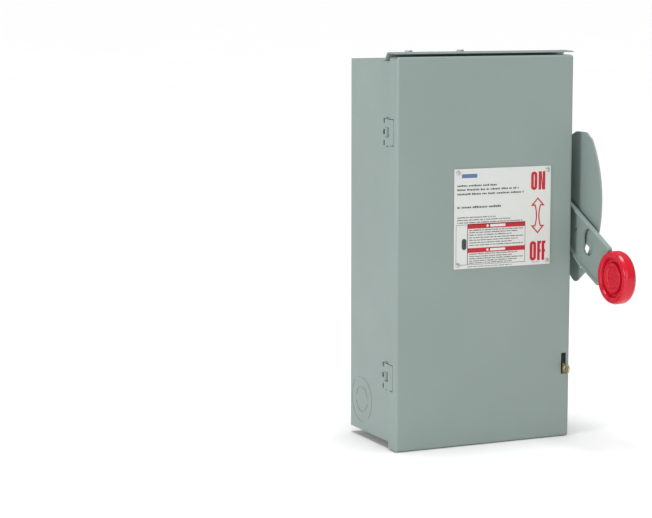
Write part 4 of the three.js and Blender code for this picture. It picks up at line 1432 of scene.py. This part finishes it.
@dataclass
class Door(SubAssembly):
    """Folded door pan with the notches of its hinges, the latch slot and the rivet holes."""

    body: str = "door"
    sheet: float = 0.0015
    bend: float = 0.003
    corner: float = 0.0033
    clear: float = 0.0008
    rivet_hole: float = 0.0015
    latch_gap: float = 0.0015
    latch_lift: float = 0.011
    latch_side: tuple[float, float] = (0.001, 0.0036)

    def build(self) -> None:
        """Build the pan and keep the hook."""
        box = Extent.of("door_pan")
        pan = self.folded_pan(box)
        combine(pan, [*self.notches(box), *self.holes(box)])
        self.add(pan, Coat.PAINT, ["door_pan"])
        self.carry("door_hook", Coat.ZINC, 0.0003)

    def folded_pan(self, box: Extent) -> bpy.types.Object:
        """Build the pan: a tray bent round its face, open to the rear, its corners welded and ground."""
        pan = self.tray(box, 0.0, box.high.y)
        return combine(pan, [self.tray(box, self.sheet, box.high.y + 0.001)])

    def tray(self, box: Extent, depth: float, rear: float) -> bpy.types.Object:
        """Build the pan's outer or inner shape.

        Args:
            box: Box round the pan.
            depth: How far inside the outer faces the shape lies.
            rear: Where the shape ends behind.

        Returns:
            A solid with rounded corners and a rounded front edge.
        """
        low, high = (box.low.x + depth, box.low.z + depth), (box.high.x - depth, box.high.z - depth)
        outline = rectangle(low, high, self.corner - depth)
        return plate("door_shell", [outline], Axis.Y, box.low.y + depth, rear, (self.bend - depth, 0.0), 6)

    def notches(self, box: Extent) -> list[bpy.types.Object]:
        """Build the cutters that let the hinge leaves into the left flange.

        Args:
            box: The door's box.

        Returns:
            The cutters.
        """
        tools = []
        for which in HINGES:
            leaf = Extent.of(f"hinge_leaf_{which}")
            path = rectangle(
                (leaf.low.y - self.clear, leaf.low.z - self.clear),
                (box.high.y + 0.004, leaf.high.z + self.clear),
                0.0006,
            )
            tools.append(plate("notch", [path], Axis.X, box.low.x - 0.001, box.low.x + self.sheet + 0.0012))
        return tools

    def holes(self, box: Extent) -> list[bpy.types.Object]:
        """Build the cutters of the rivet holes and the latch slot.

        Args:
            box: The door's box.

        Returns:
            The cutters.
        """
        rear = box.low.y + self.sheet + 0.001
        tools = []
        for i in CORNERS:
            rivet = Extent.of(f"nameplate_rivet_{i}").middle
            loop = circle((rivet.x, rivet.z), self.rivet_hole, 24)
            tools.append(plate("hole", [loop], Axis.Y, box.low.y - 0.001, rear))
        tongue = Extent.of("latch_tongue")
        path = rectangle(
            (tongue.low.x - self.latch_side[0], tongue.low.z - self.latch_gap),
            (tongue.high.x + self.latch_side[1], tongue.high.z + self.latch_lift),
            0.001,
        )
        tools.append(plate("slot", [path], Axis.Y, box.low.y - 0.001, rear))
        return tools


@dataclass
class Nameplate(SubAssembly):
    """White plate with neutral print: position marks, bars and rows of blocks that stand for words."""

    body: str = "door"
    corner: float = 0.0012
    print_depth: float = 0.00006
    margin: float = 0.0035
    row_indent: float = 0.002
    row_stagger: float = 0.007
    arrow_line: float = 0.00145
    seed: int = 11
    prints: dict[Ink, list[bpy.types.Object]] = field(default_factory=dict)

    def build(self) -> None:
        """Build the plate, its print and its rivets."""
        box = Extent.of("nameplate")
        self.left, self.top, self.front = box.low.x, box.high.z, box.low.y
        rivets = [Extent.of(f"nameplate_rivet_{i}") for i in CORNERS]
        holes = [circle((r.middle.x, r.middle.z), 0.0015, 24) for r in rivets]
        outline = rectangle((box.low.x, box.low.z), (box.high.x, box.high.z), self.corner)
        sheet = plate("name_plate", [outline, *holes], Axis.Y, box.low.y, box.high.y, 0.0002, 2)
        self.add(sheet, Coat.PLATE, ["nameplate"])
        self.print_rows()
        self.print_panel()
        self.print_positions()
        for ink, shapes in self.prints.items():
            self.add(gather(f"print_{ink.name.lower()}", shapes), Coat.PLATE, ink=ink)
        for i, rivet in zip(CORNERS, rivets):
            self.build_rivet(i, rivet)

    def mark(self, ink: Ink, *loops: Loop) -> None:
        """Print one shape, given from the plate's upper left corner, rightwards and down, in metres.

        Args:
            ink: Ink of the shape.
            loops: Outer outline and any holes in it.
        """
        placed = [[(self.left + u, self.top - v) for u, v in loop] for loop in loops]
        shape = plate("mark", placed, Axis.Y, self.front - self.print_depth, self.front)
        self.prints.setdefault(ink, []).append(shape)

    def words(self, ink: Ink, start: float, end: float, line: float, height: float) -> None:
        """Print a row of small plain blocks, grouped and spaced as letters in words would be.

        Args:
            ink: Colour of the row.
            start: Where the row starts, from the plate's left edge.
            end: Where it ends.
            line: The row's middle, from the plate's top edge.
            height: Height of the tallest blocks.
        """
        rng = random.Random(self.seed + round(line * 1e5))
        here = start
        while here < end - height:
            for _ in range(rng.randint(2, 9)):
                width = height * rng.uniform(0.35, 0.75)
                if here + width > end:
                    break
                top = line - height * rng.choice((0.5, 0.3, 0.3))
                self.mark(ink, rectangle((here, top), (here + width, line + height * 0.4)))
                here += width + height * 0.22
            here += height * 0.6

    def print_rows(self) -> None:
        """Print the plain bar, the heading rows, the ratings row and the small rows under it."""
        start = self.margin
        self.mark(Ink.BLUE, rectangle((0.0088, 0.0056), (0.0274, 0.0098), 0.001))
        for row, end in ((0.0181, 0.052), (0.0225, 0.0795), (0.0271, 0.0855)):
            self.words(Ink.DARK, start, end, row, 0.0023)
        self.words(Ink.DARK, start, 0.058, 0.0412, 0.0025)
        for row, end in ((0.0521, 0.05), (0.0549, 0.069), (0.0577, 0.0835)):
            self.words(Ink.DARK, start, end, row, 0.0014)

    def print_panel(self) -> None:
        """Print the framed panel: two red bars, rows of blocks, and a frame at the left with a mark."""
        left, middle, right = 0.0022, 0.0163, 0.0868
        top, foot, line = 0.0598, 0.1032, 0.00038
        for u0, u1 in ((left, middle), (middle, right)):
            outer = rectangle((u0, top), (u1, foot), 0.0002)
            inner = rectangle((u0 + line, top + line), (u1 - line, foot - line), 0.0001)
            self.mark(Ink.DARK, outer, inner)
        for start, height in ((0.0591, 0.0053), (0.0852, 0.005)):
            self.mark(Ink.RED, rectangle((middle, start), (right, start + height)))
            self.mark_on_bar(start + height / 2, height * 0.52)
        rows = [0.0662, 0.0686, 0.0713, 0.0741, 0.0768, 0.0795, 0.0822]
        rows += [0.0917, 0.0943, 0.0967, 0.0991, 0.1013]
        for i, row in enumerate(rows):
            end = right - self.row_indent - (i % 3) * self.row_stagger
            self.words(Ink.DARK, middle + self.row_indent, end, row, 0.0013)
        self.mark(Ink.DARK, rectangle((0.0092, 0.0748), (0.015, 0.0868), 0.0028))
        self.words(Ink.DARK, middle, 0.0706, 0.1052, 0.001)
        self.words(Ink.GREY, 0.0955, 0.104, 0.1042, 0.0007)

    def mark_on_bar(self, centre: float, height: float) -> None:
        """Print a white disc and a white bar on a red bar.

        Args:
            centre: Middle of the bar, down from the plate's top edge.
            height: Height of the marks.
        """
        lift = self.print_depth
        half = height / 2
        self.front -= lift
        self.mark(Ink.WHITE, circle((0.0405, centre), half, 24))
        self.mark(Ink.WHITE, rectangle((0.0438, centre - half), (0.0622, centre + half), 0.0004))
        self.front += lift

    def print_positions(self) -> None:
        """Print the two position words and the outlined arrow between them."""
        stroke = 0.0033
        self.letter_o(0.0934, 0.0058, 0.0076, 0.0199, stroke)
        self.letter_n(0.1027, 0.0058, 0.0083, 0.0199, stroke)
        self.letter_o(0.0928, 0.0815, 0.0078, 0.0211, stroke)
        for left in (0.102, 0.1076):
            self.letter_f(left, 0.0815, 0.0047, 0.0211, stroke)
        self.arrow(0.1021, 0.0338, 0.0733)

    def letter_o(self, left: float, top: float, width: float, height: float, stroke: float) -> None:
        """Print a narrow ring.

        Args:
            left: Left side of the letter, from the plate's left edge.
            top: Top of the letter, down from the top edge.
            width: Width of the letter.
            height: Height of the letter.
            stroke: Width of its strokes.
        """
        right, foot = left + width, top + height
        outer = rectangle((left, top), (right, foot), width * 0.46)
        ease = width / 2 - stroke - 1e-5
        hole = rectangle((left + stroke, top + stroke), (right - stroke, foot - stroke), ease)
        self.mark(Ink.RED, outer, hole)

    def letter_n(self, left: float, top: float, width: float, height: float, stroke: float) -> None:
        """Print two uprights and the slanting stroke between them.

        Args:
            left: Left side of the letter, from the plate's left edge.
            top: Top of the letter, down from the top edge.
            width: Width of the letter.
            height: Height of the letter.
            stroke: Width of its strokes.
        """
        right, foot = left + width, top + height
        run = stroke * 1.15
        drop = height * 0.34
        path = [(left, top), (left + run, top), (right - stroke, foot - drop), (right - stroke, top)]
        path += [(right, top), (right, foot), (right - run, foot), (left + stroke, top + drop)]
        self.mark(Ink.RED, [*path, (left + stroke, foot), (left, foot)])

    def letter_f(self, left: float, top: float, width: float, height: float, stroke: float) -> None:
        """Print an upright with two arms.

        Args:
            left: Left side of the letter, from the plate's left edge.
            top: Top of the letter, down from the top edge.
            width: Width of the letter.
            height: Height of the letter.
            stroke: Width of its strokes.
        """
        arm, middle = stroke * 0.85, top + height * 0.44
        right, short, stem = left + width, left + width * 0.92, left + stroke
        path = [(left, top), (right, top), (right, top + arm), (stem, top + arm)]
        path += [(stem, middle), (short, middle), (short, middle + arm)]
        path += [(stem, middle + arm), (stem, top + height), (left, top + height)]
        self.mark(Ink.RED, path)

    def arrow(self, centre: float, top: float, foot: float) -> None:
        """Print an outlined arrow with two heads and a shank that narrows to its middle.

        Args:
            centre: Middle of the arrow, from the plate's left edge.
            top: Upper point, down from the plate's top edge.
            foot: Lower point, down from the plate's top edge.
        """
        head, shoulder, shank, waist = 0.0086, 0.0092, 0.0039, 0.0022
        middle = (foot - top) / 2
        steps = (1, 0.7, 0.4, 0)
        curve = [(waist + (shank - waist) * k**2, middle - (middle - shoulder) * k) for k in steps]
        half = [(head, shoulder), *curve]
        right = [(centre + u, top + v) for u, v in half]
        right += [(centre + u, foot - v) for u, v in reversed(half[:-1])]
        left = [(2 * centre - u, v) for u, v in reversed(right)]
        path = [(centre, top), *right, (centre, foot), *left]
        area = sum(a[0] * b[1] - b[0] * a[1] for a, b in zip(path, path[1:] + path[:1]))
        self.mark(Ink.RED, path, inset(path, math.copysign(self.arrow_line, area)))

    def build_rivet(self, number: int, place: Extent) -> None:
        """Build one drive screw: low domed head with a slot.

        Args:
            number: Number of the drive screw.
            place: The CAD screw's box.
        """
        radius = place.size.x / 2
        seat = (place.middle.x, place.low.y + 0.00125, place.middle.z)
        dome = [(0, -0.00125), (radius * 0.55, -0.0011, 0.001), (radius, -0.0002, 0.0003), (radius, 0)]
        dome += [(0.0012, 0), (0.0012, place.high.y - seat[1]), (0, place.high.y - seat[1])]
        head = lathe(f"drive_screw_{number}", dome, Axis.Y, seat, 32)
        groove = slot((seat[0], seat[2]), radius, 0.00035, 50)
        cut = plate("cut", [groove], Axis.Y, place.low.y - 0.001, place.low.y + 0.0007)
        combine(head, [cut])
        self.add(head, Coat.ZINC, [f"nameplate_rivet_{number}"])


@dataclass
class Handle(SubAssembly):
    """Formed lever with folded edges, red knob, retaining ring, shaft and bushing."""

    body: str = "handle"
    length: float = 0.175
    width: float = 0.05
    sheet: float = 0.0022
    depth: float = 0.006
    fold: float = 0.0016
    boss: float = 0.014
    bore: float = 0.0083
    tongue: float = 0.026
    knob_radius: float = 0.0285
    knob_overlap: float = 0.0075
    wide_part: float = 0.067
    shoulder: float = 0.127
    flare: float = 0.05
    flare_rise: float = 0.008
    slot_reach: float = 0.1108
    slot_rise: float = 0.0046
    slot_length: float = 0.03
    slot_width: float = 0.022
    sight: float = 0.0022
    sight_place: Point = (-0.082, 0.0034)
    pin_hole: float = 0.0023

    def build(self) -> None:
        """Build the lever, the knob and the ring; keep the shaft, the pin and the bushing."""
        self.pivot = Vector(JOINTS["handle_throw"]["pos_m"])
        knob = Extent.of("handle_knob").middle - self.pivot
        self.rest = math.atan2(-knob.z, -knob.y)
        self.build_lever()
        self.build_knob()
        self.build_ring()
        self.carry("handle_shaft", Coat.ZINC, 0.0003)
        self.carry("knob_pin", Coat.ZINC, 0.0002)
        self.build_bushing()

    def outline(self, depth: float) -> Loop:
        """Return the lever's outline in its own frame, moved inwards by a depth.

        Args:
            depth: How far inside the edge.

        Returns:
            The outline.
        """
        half = self.width / 2
        end = self.length - self.knob_radius + self.knob_overlap
        wide = self.length - self.wide_part
        boss = self.boss - depth
        return rounded(
            [
                (boss, -boss, boss - 0.001),
                (-wide + self.flare, -half + self.flare_rise + depth, 0.012),
                (-wide, -half + depth, 0.012),
                (-end + depth, -half + depth, 0.004),
                (-end + depth, half - 0.002 - depth, 0.004),
                (-(self.length - self.shoulder), half - depth, 0.014),
                (boss, boss, boss - 0.001),
            ]
        )

    def build_lever(self) -> None:
        """Build the lever: a pan with rounded folds, open towards the box, with its tongue and boss."""
        box = Extent.of("handle_lever")
        outer = box.high.x
        ring = Extent.of("padlock_quadrant").low.x
        inner = outer - self.depth
        web = outer - self.sheet
        lever = plate("lever", [self.outline(0)], Axis.X, inner, outer, (0.0004, self.fold), 4)
        hollow = plate("hollow", [self.outline(self.sheet)], Axis.X, inner - 0.004, web, (0.0, 0.0008), 3)
        end = (inner - 0.001, -self.length, 0)
        socket = bar("socket", self.knob_radius + 0.0005, Axis.X, end, self.depth + 0.002, 0, 96)
        combine(lever, [hollow, socket])
        end = self.length - self.knob_radius + self.knob_overlap
        tongue = rectangle((-self.length - 0.005, -self.tongue / 2), (-end + 0.02, self.tongue / 2), 0.002)
        strip = plate("tongue", [tongue], Axis.X, web + 0.00002, outer - 0.00002, 0.0002, 2)
        reach = outer - box.low.x - 0.00003
        boss = bar("boss", self.boss - 0.001, Axis.X, (box.low.x, 0, 0), reach, 0.0004, 64)
        combine(lever, [strip, boss], "UNION")
        tilt = math.degrees(self.rest)
        reach = self.slot_length / 2 - self.slot_width / 2
        holes = [
            circle((0, 0), self.bore, 64),
            slot((-self.slot_reach, self.slot_rise), reach, self.slot_width / 2, 90 - tilt),
            circle(self.sight_place, self.sight, 32),
            circle((-self.length, 0), self.pin_hole, 32),
        ]
        combine(lever, [plate("hole", [hole], Axis.X, ring - 0.001, outer + 0.001) for hole in holes])
        self.add(swing(lever, self.rest, self.pivot), Coat.PAINT, ["handle_lever"])

    def build_knob(self) -> None:
        """Build the knob: a turned disc with a groove, a raised ring and a dished centre on each face."""
        thick = Extent.of("handle_knob").size.x / 2
        r = self.knob_radius
        face = [
            (0, thick - 0.003),
            (r - 0.0176, thick - 0.0028, 0.0012),
            (r - 0.0164, thick - 0.0008, 0.0006),
            (r - 0.0126, thick - 0.0008, 0.0006),
            (r - 0.0112, thick - 0.0046, 0.0008),
            (r - 0.0086, thick - 0.0046, 0.0008),
            (r - 0.0068, thick, 0.0009),
            (r - 0.0016, thick, 0.0022),
            (r, thick - 0.0036, 0.0026),
        ]
        profile = [(u, -v, *rest) for u, v, *rest in face] + [corner for corner in reversed(face)]
        middle = Extent.of("handle_knob").middle.x
        knob = lathe("red_knob", profile, Axis.X, (middle, -self.length, 0), 112)
        web = Extent.of("handle_lever").high.x
        clear = 0.0003
        half = self.tongue / 2 + clear
        slit = plate(
            "slit",
            [rectangle((-self.length - 0.005 - clear, -half), (-self.length + r + 0.002, half))],
            Axis.X,
            web - self.sheet - clear,
            web + clear,
        )
        reach = thick - 0.0035
        hole = bar("hole", self.pin_hole, Axis.X, (middle - reach, -self.length, 0), 2 * reach, 0, 32)
        combine(knob, [slit, hole])
        self.add(swing(knob, self.rest, self.pivot), Coat.RED, ["handle_knob"])

    def build_ring(self) -> None:
        """Build the retaining ring: an open clip round the shaft."""
        box = Extent.of("shaft_retainer")
        outer = box.size.z / 2
        inner = outer - 0.0029
        gap = 16.0
        loop = turn((0, 0), outer, gap, 360 - gap, 60) + turn((0, 0), inner, 360 - gap, gap, 60)
        clip = plate("shaft_clip", [loop], Axis.X, box.low.x, box.high.x, 0.0002, 2)
        self.add(swing(clip, self.rest, self.pivot), Coat.ZINC, ["shaft_retainer"])

    def build_bushing(self) -> None:
        """Build the flanged bushing in the side wall."""
        box = Extent.of("shaft_bushing")
        rim = box.size.z / 2
        length = box.size.x
        flange = length - 0.0017
        profile = [
            (self.bore, 0),
            (rim - 0.004, 0, 0.0003),
            (rim - 0.004, flange),
            (rim, flange, 0.0003),
            (rim, length, 0.0006),
            (self.bore, length, 0.0003),
        ]
        ring = lathe("wall_bushing", profile, Axis.X, (box.low.x, self.pivot.y, self.pivot.z), 72)
        self.add(ring, Coat.ZINC, ["shaft_bushing"], body="box")


@dataclass
class PadlockQuadrant(SubAssembly):
    """D-shaped guard plate outside the lever, bent round to a foot on the side wall."""

    sheet: float = 0.002
    bend: float = 0.0028
    root: float = 0.064
    rim_top: float = 35.0
    rim_bottom: float = 41.0
    shoulder: Point = (0.0112, 0.0068)
    top_edge: float = 0.0209
    chin: Point = (0.0222, 0.0161)
    slot_inset: float = 0.014
    slot_half: float = 0.0045
    slot_from: float = 28.0
    slot_to: float = 45.0
    screw_hole: float = 0.0027
    screw: HexScrew = field(default_factory=HexScrew)

    def build(self) -> None:
        """Build the guard and its two screws."""
        box = Extent.of("padlock_quadrant")
        _, y, z = JOINTS["handle_throw"]["pos_m"]
        radius = y - box.low.y
        heel = y + 0.018
        rim = turn((y, z), radius, 180 + self.rim_bottom, 180 - self.rim_top, 72)
        low, high = rim[0], rim[-1]
        edge = (high[0] + self.shoulder[0], high[1] + self.shoulder[1])
        run = self.bend + self.sheet
        outline = [
            *rounded(
                [
                    (high[0], high[1]),
                    (*edge, 0.005),
                    (edge[0] + self.top_edge, edge[1], 0.01),
                    (heel - run, z + self.root / 2 + 0.006),
                    (heel - run, z - self.root / 2 - 0.006),
                    (low[0] + self.chin[0], low[1] - self.chin[1], 0.009),
                    (low[0], low[1]),
                ],
                closed=False,
            ),
            *rim[1:-1],
        ]
        reach = radius - self.slot_inset
        start, stop = 180 + self.slot_from, 180 + self.slot_to
        opening = turn((y, z), reach + self.slot_half, start, stop, 18)
        opening += turn((y, z), reach - self.slot_half, stop, start, 18)
        face = plate("guard", [outline, opening], Axis.X, box.high.x - self.sheet, box.high.x, 0.0005)
        combine(face, [self.foot(box, heel, z)], "UNION")
        screws = [Extent.of(f"quadrant_screw_{i}") for i in (1, 2)]
        holes = [circle((s.middle.y, s.middle.z), self.screw_hole, 32) for s in screws]
        combine(face, [plate("hole", [h], Axis.X, box.low.x - 0.001, box.low.x + 0.004) for h in holes])
        face.name = "padlock_guard"
        self.add(face, Coat.PAINT, ["padlock_quadrant"])
        for i, place in enumerate(screws, 1):
            seat = (place.high.x - self.screw.head, place.middle.y, place.middle.z)
            self.add(self.screw.build(f"guard_screw_{i}", Axis.X, seat), Coat.ZINC, [f"quadrant_screw_{i}"])

    def foot(self, box: Extent, heel: float, z: float) -> bpy.types.Object:
        """Build the bent part: the end of the guard's face, the standing wall and the foot.

        Args:
            box: The guard's box.
            heel: Where the face ends towards the back.
            z: Height of the handle's shaft.

        Returns:
            The bent part.
        """
        half = self.sheet / 2
        path = [
            (box.high.x - half, heel - self.bend - self.sheet - 0.004),
            (box.high.x - half, heel + half, self.bend),
            (box.low.x + half, heel + half, self.bend),
            (box.low.x + half, box.high.y),
        ]
        section = sheet_section(path, self.sheet - 0.00004)
        rise = self.root / 2 - 0.002
        return plate("foot", [section], Axis.Z, z - rise, z + rise, 0.0004, 2)


@dataclass
class Mechanism(SubAssembly):
    """Shaft frame, rotor journal, moulded crossbar and blades."""

    def build(self) -> None:
        """Keep the CAD pieces, with eased edges and finishes."""
        self.carry("mechanism_frame", Coat.ZINC)
        self.carry("rotor_journal", Coat.ZINC)
        self.carry("rotor_crossbar", Coat.MOULDING, 0.0007)
        for i in POLES:
            self.carry(f"switch_blade_{i}", Coat.COPPER, 0.0004)


@dataclass
class Poles(SubAssembly):
    """Insulating bases, terminals with their screws, and cartridge fuses."""

    ferrule: float = 0.025
    lug_screw: float = 0.0037
    lug_height: float = 0.02
    lug_face: float = -0.044
    hex_key: float = 0.0021

    def build(self) -> None:
        """Keep the bases and terminals; build the screws and the fuses."""
        for base in ("line_base", "switch_base", "fuse_base"):
            self.carry(base, Coat.MOULDING, 0.0008)
            self.build_base_screws(base)
        for i in POLES:
            for kind in ("line", "load", "lower"):
                self.carry(f"{kind}_terminal_{i}", Coat.COPPER, 0.0003)
            line = Extent.of(f"line_terminal_{i}")
            lower = Extent.of(f"lower_terminal_{i}")
            self.build_lug_screw(f"line_screw_{i}", line, line.high.z - 0.002 - self.lug_height / 2)
            self.build_lug_screw(f"load_screw_{i}", lower, lower.low.z + self.lug_height / 2)
            self.build_fuse(i)
        self.carry("ground_lug", Coat.COPPER, 0.0004)
        self.build_ground_screw()

    def build_base_screws(self, base: str) -> None:
        """Build the two slotted pan-head screws that hold a base to the back wall.

        Args:
            base: Name of the base.
        """
        box = Extent.of(base)
        front = Extent.of("load_terminal_1").high.y
        for i, x in enumerate((box.low.x + 0.0055, box.high.x - 0.0055), 1):
            seat = (x, front, box.middle.z)
            pan = [(0, -0.0026), (0.0026, -0.0024, 0.0012), (0.0037, -0.0009, 0.0008)]
            pan += [(0.0037, 0.0003), (0, 0.0003)]
            head = lathe(f"{base}_screw_{i}", pan, Axis.Y, seat, 40)
            groove = slot((x, seat[2]), 0.004, 0.0005, 35 + 70 * i)
            cut = plate("cut", [groove], Axis.Y, front - 0.004, front - 0.0014)
            combine(head, [cut])
            self.add(head, Coat.ZINC)

    def build_lug_screw(self, name: str, terminal: Extent, height: float) -> None:
        """Build the set screw of a wire lug, with a hexagon socket in its face.

        Args:
            name: Name of the screw.
            terminal: CAD node of the lug.
            height: Height of the screw's axis.
        """
        face = self.lug_face
        seat = (terminal.middle.x, face, height)
        r = self.lug_screw
        body = [(0, 0.0042), (r - 0.0006, 0.0042), (r, 0.0036)]
        body += [(r, -0.0002), (r - 0.0005, -0.0008), (0, -0.0008)]
        screw = lathe(name, body, Axis.Y, seat, 40)
        socket = circle((seat[0], seat[2]), self.hex_key, 6)
        key = plate("key", [socket], Axis.Y, face - 0.002, face + 0.0018)
        combine(screw, [key])
        self.add(screw, Coat.ZINC)

    def build_ground_screw(self) -> None:
        """Build the slotted screw in the front of the ground lug."""
        lug = Extent.of("ground_lug")
        seat = (lug.middle.x, lug.low.y, lug.high.z - 0.009)
        dome = [(0, -0.0024), (0.0036, -0.0022, 0.001), (0.0042, 0.0), (0, 0.0)]
        head = lathe("ground_screw", dome, Axis.Y, seat, 40)
        groove = slot((seat[0], seat[2]), 0.0045, 0.0005, 20)
        cut = plate("cut", [groove], Axis.Y, seat[1] - 0.004, seat[1] - 0.0012)
        combine(head, [cut])
        self.add(head, Coat.ZINC)

    def build_fuse(self, number: int) -> None:
        """Build one cartridge fuse: fibre tube, crimped end caps and a plain paper band.

        Args:
            number: Number of the pole, from the left.
        """
        box = Extent.of(f"fuse_{number}")
        centre = (box.middle.x, box.middle.y, box.low.z)
        r, length = box.size.x / 2, box.size.z
        caps = []
        for flip in (False, True):
            cap = [
                (0, 0.0),
                (r, 0.0, 0.0014),
                (r, self.ferrule - 0.006, 0.0003),
                (r - 0.0004, self.ferrule - 0.0052, 0.0003),
                (r - 0.0004, self.ferrule - 0.0044, 0.0003),
                (r, self.ferrule - 0.0036, 0.0003),
                (r, self.ferrule, 0.0004),
                (r - 0.0009, self.ferrule),
                (0, self.ferrule),
            ]
            profile = [(u, length - v, *rest) for u, v, *rest in reversed(cap)] if flip else cap
            caps.append(lathe("cap", profile, Axis.Z, centre, 64))
        self.add(gather(f"fuse_caps_{number}", caps), Coat.COPPER, [f"fuse_{number}"])
        start, stop = self.ferrule + 0.0001, length - self.ferrule - 0.0001
        tube = [(0, start), (r - 0.001, start), (r - 0.001, stop), (0, stop)]
        self.add(lathe(f"fuse_tube_{number}", tube, Axis.Z, centre, 64), Coat.FUSE, [f"fuse_{number}"])
        low, high = length * 0.33, length * 0.67
        band = [(r - 0.001, low), (r - 0.00085, low), (r - 0.00085, high), (r - 0.001, high)]
        self.add(lathe(f"fuse_band_{number}", band, Axis.Z, centre, 64), Coat.PLATE)


@dataclass
class Interlock(SubAssembly):
    """Lifting bar that holds the door while the switch is on, and its guide."""

    def build(self) -> None:
        """Keep the CAD pieces."""
        self.carry("interlock_bar", Coat.ZINC)
        self.carry("interlock_guide", Coat.ZINC)


@dataclass
class Latch(SubAssembly):
    """Sprung latch tongue with its padlock eye, pin and bracket."""

    body: str = "latch"
    eye: float = 0.0036
    eye_inset: float = 0.006
    pin_hole: float = 0.0028
    end: float = 0.005

    def build(self) -> None:
        """Build the tongue and keep its pin and bracket."""
        box = Extent.of("latch_tongue")
        _, y, z = JOINTS["latch_lift"]["pos_m"]
        outline = rectangle((box.low.y, box.low.z), (box.high.y, box.high.z), self.end)
        holes = [circle((box.low.y + self.eye_inset, z), self.eye, 40), circle((y, z), self.pin_hole, 32)]
        tongue = plate("latch_plate", [outline, *holes], Axis.X, box.low.x, box.high.x, 0.0004)
        self.add(tongue, Coat.YELLOW, ["latch_tongue"])
        self.carry("latch_bracket", Coat.ZINC)
        self.carry("latch_pin", Coat.ZINC, 0.0003)


# ---- Studio ----


@dataclass
class Studio:
    """Pale floor, soft lights and the camera."""

    camera_place: Vector = field(default_factory=lambda: Vector((-1.0451, -2.0157, 0.2743)))
    yaw: float = 24.342
    pitch: float = 7.47
    lens: float = 111.9
    sensor: float = 36.0
    sky: float = 0.36
    overhead: float = 2.3
    floor_size: float = 600.0

    def build(self) -> None:
        """Set up everything round the switch."""
        self.build_camera()
        self.build_floor()
        centre = (CAD_BOUNDS[0] + CAD_BOUNDS[1]) / 2
        self.softbox("key_light", centre, -73, 14, 4.4, 0.95, 66)
        self.softbox("front_light", centre, -6, 14, 3.0, 1.8, 14)
        self.build_overhead()
        self.build_sky()

    def build_camera(self) -> None:
        """Place the camera and make it the scene's own."""
        data = bpy.data.cameras.new("camera")
        data.lens = self.lens
        data.sensor_width = self.sensor
        data.clip_end = 400
        camera = bpy.data.objects.new("camera", data)
        camera.location = self.camera_place
        yaw, pitch = math.radians(self.yaw), math.radians(self.pitch)
        level = math.cos(pitch)
        forward = Vector((math.sin(yaw) * level, math.cos(yaw) * level, -math.sin(pitch)))
        camera.rotation_euler = forward.to_track_quat("-Z", "Y").to_euler()
        bpy.context.scene.collection.objects.link(camera)
        bpy.context.scene.camera = camera

    def build_floor(self) -> None:
        """Lay the floor just under the switch."""
        half = self.floor_size / 2
        bm = bmesh.new()
        corners = ((-half, -half), (half, -half), (half, half), (-half, half))
        bm.faces.new([bm.verts.new((x, y, CAD_BOUNDS[0].z - 0.0002)) for x, y in corners])
        floor = mesh_object("studio_floor", bm)
        floor.data.materials.append(StudioSweep().material("studio_sweep"))

    def softbox(
        self,
        name: str,
        target: Vector,
        azimuth: float,
        height: float,
        reach: float,
        size: float,
        power: float,
    ) -> None:
        """Hang a square soft light.

        Args:
            name: Name of the light.
            target: Point it is aimed at.
            azimuth: Its side in degrees; 0 is in front and -90 to the left.
            height: Its angle above the horizon, in degrees.
            reach: Distance from the target.
            size: Length of its side.
            power: Its power in watts.
        """
        data = bpy.data.lights.new(name, "AREA")
        data.energy = power
        data.size = size
        light = bpy.data.objects.new(name, data)
        a, e = math.radians(azimuth), math.radians(height)
        away = Vector((math.sin(a) * math.cos(e), -math.cos(a) * math.cos(e), math.sin(e)))
        light.location = target + away * reach
        light.rotation_euler = (-away).to_track_quat("-Z", "Y").to_euler()
        bpy.context.scene.collection.objects.link(light)

    def build_overhead(self) -> None:
        """Light the floor evenly from straight above."""
        data = bpy.data.lights.new("overhead", "SUN")
        data.energy = self.overhead
        data.angle = math.radians(25)
        bpy.context.scene.collection.objects.link(bpy.data.objects.new("overhead", data))

    def build_sky(self) -> None:
        """Fill the room with even white light."""
        world = bpy.data.worlds.new("studio")
        world.use_nodes = True
        back = world.node_tree.nodes["Background"]
        back.inputs["Color"].default_value = (1, 1, 1, 1)
        back.inputs["Strength"].default_value = self.sky
        bpy.context.scene.world = world
        bpy.context.scene.view_settings.view_transform = "Standard"


def main() -> None:
    """Build every sub-assembly in order and report its pieces."""
    logging.basicConfig(level=logging.INFO, format="%(name)s: %(message)s")
    finishes = Finishes()
    kinds = (Enclosure, RainHood, HubCover, Hinges, Door, Nameplate, Handle)
    kinds += (PadlockQuadrant, Mechanism, Poles, Interlock, Latch)
    for kind in kinds:
        assembly = kind(finishes)
        assembly.build()
        assembly.report()
    Studio().build()


if __name__ == "__main__":
    main()
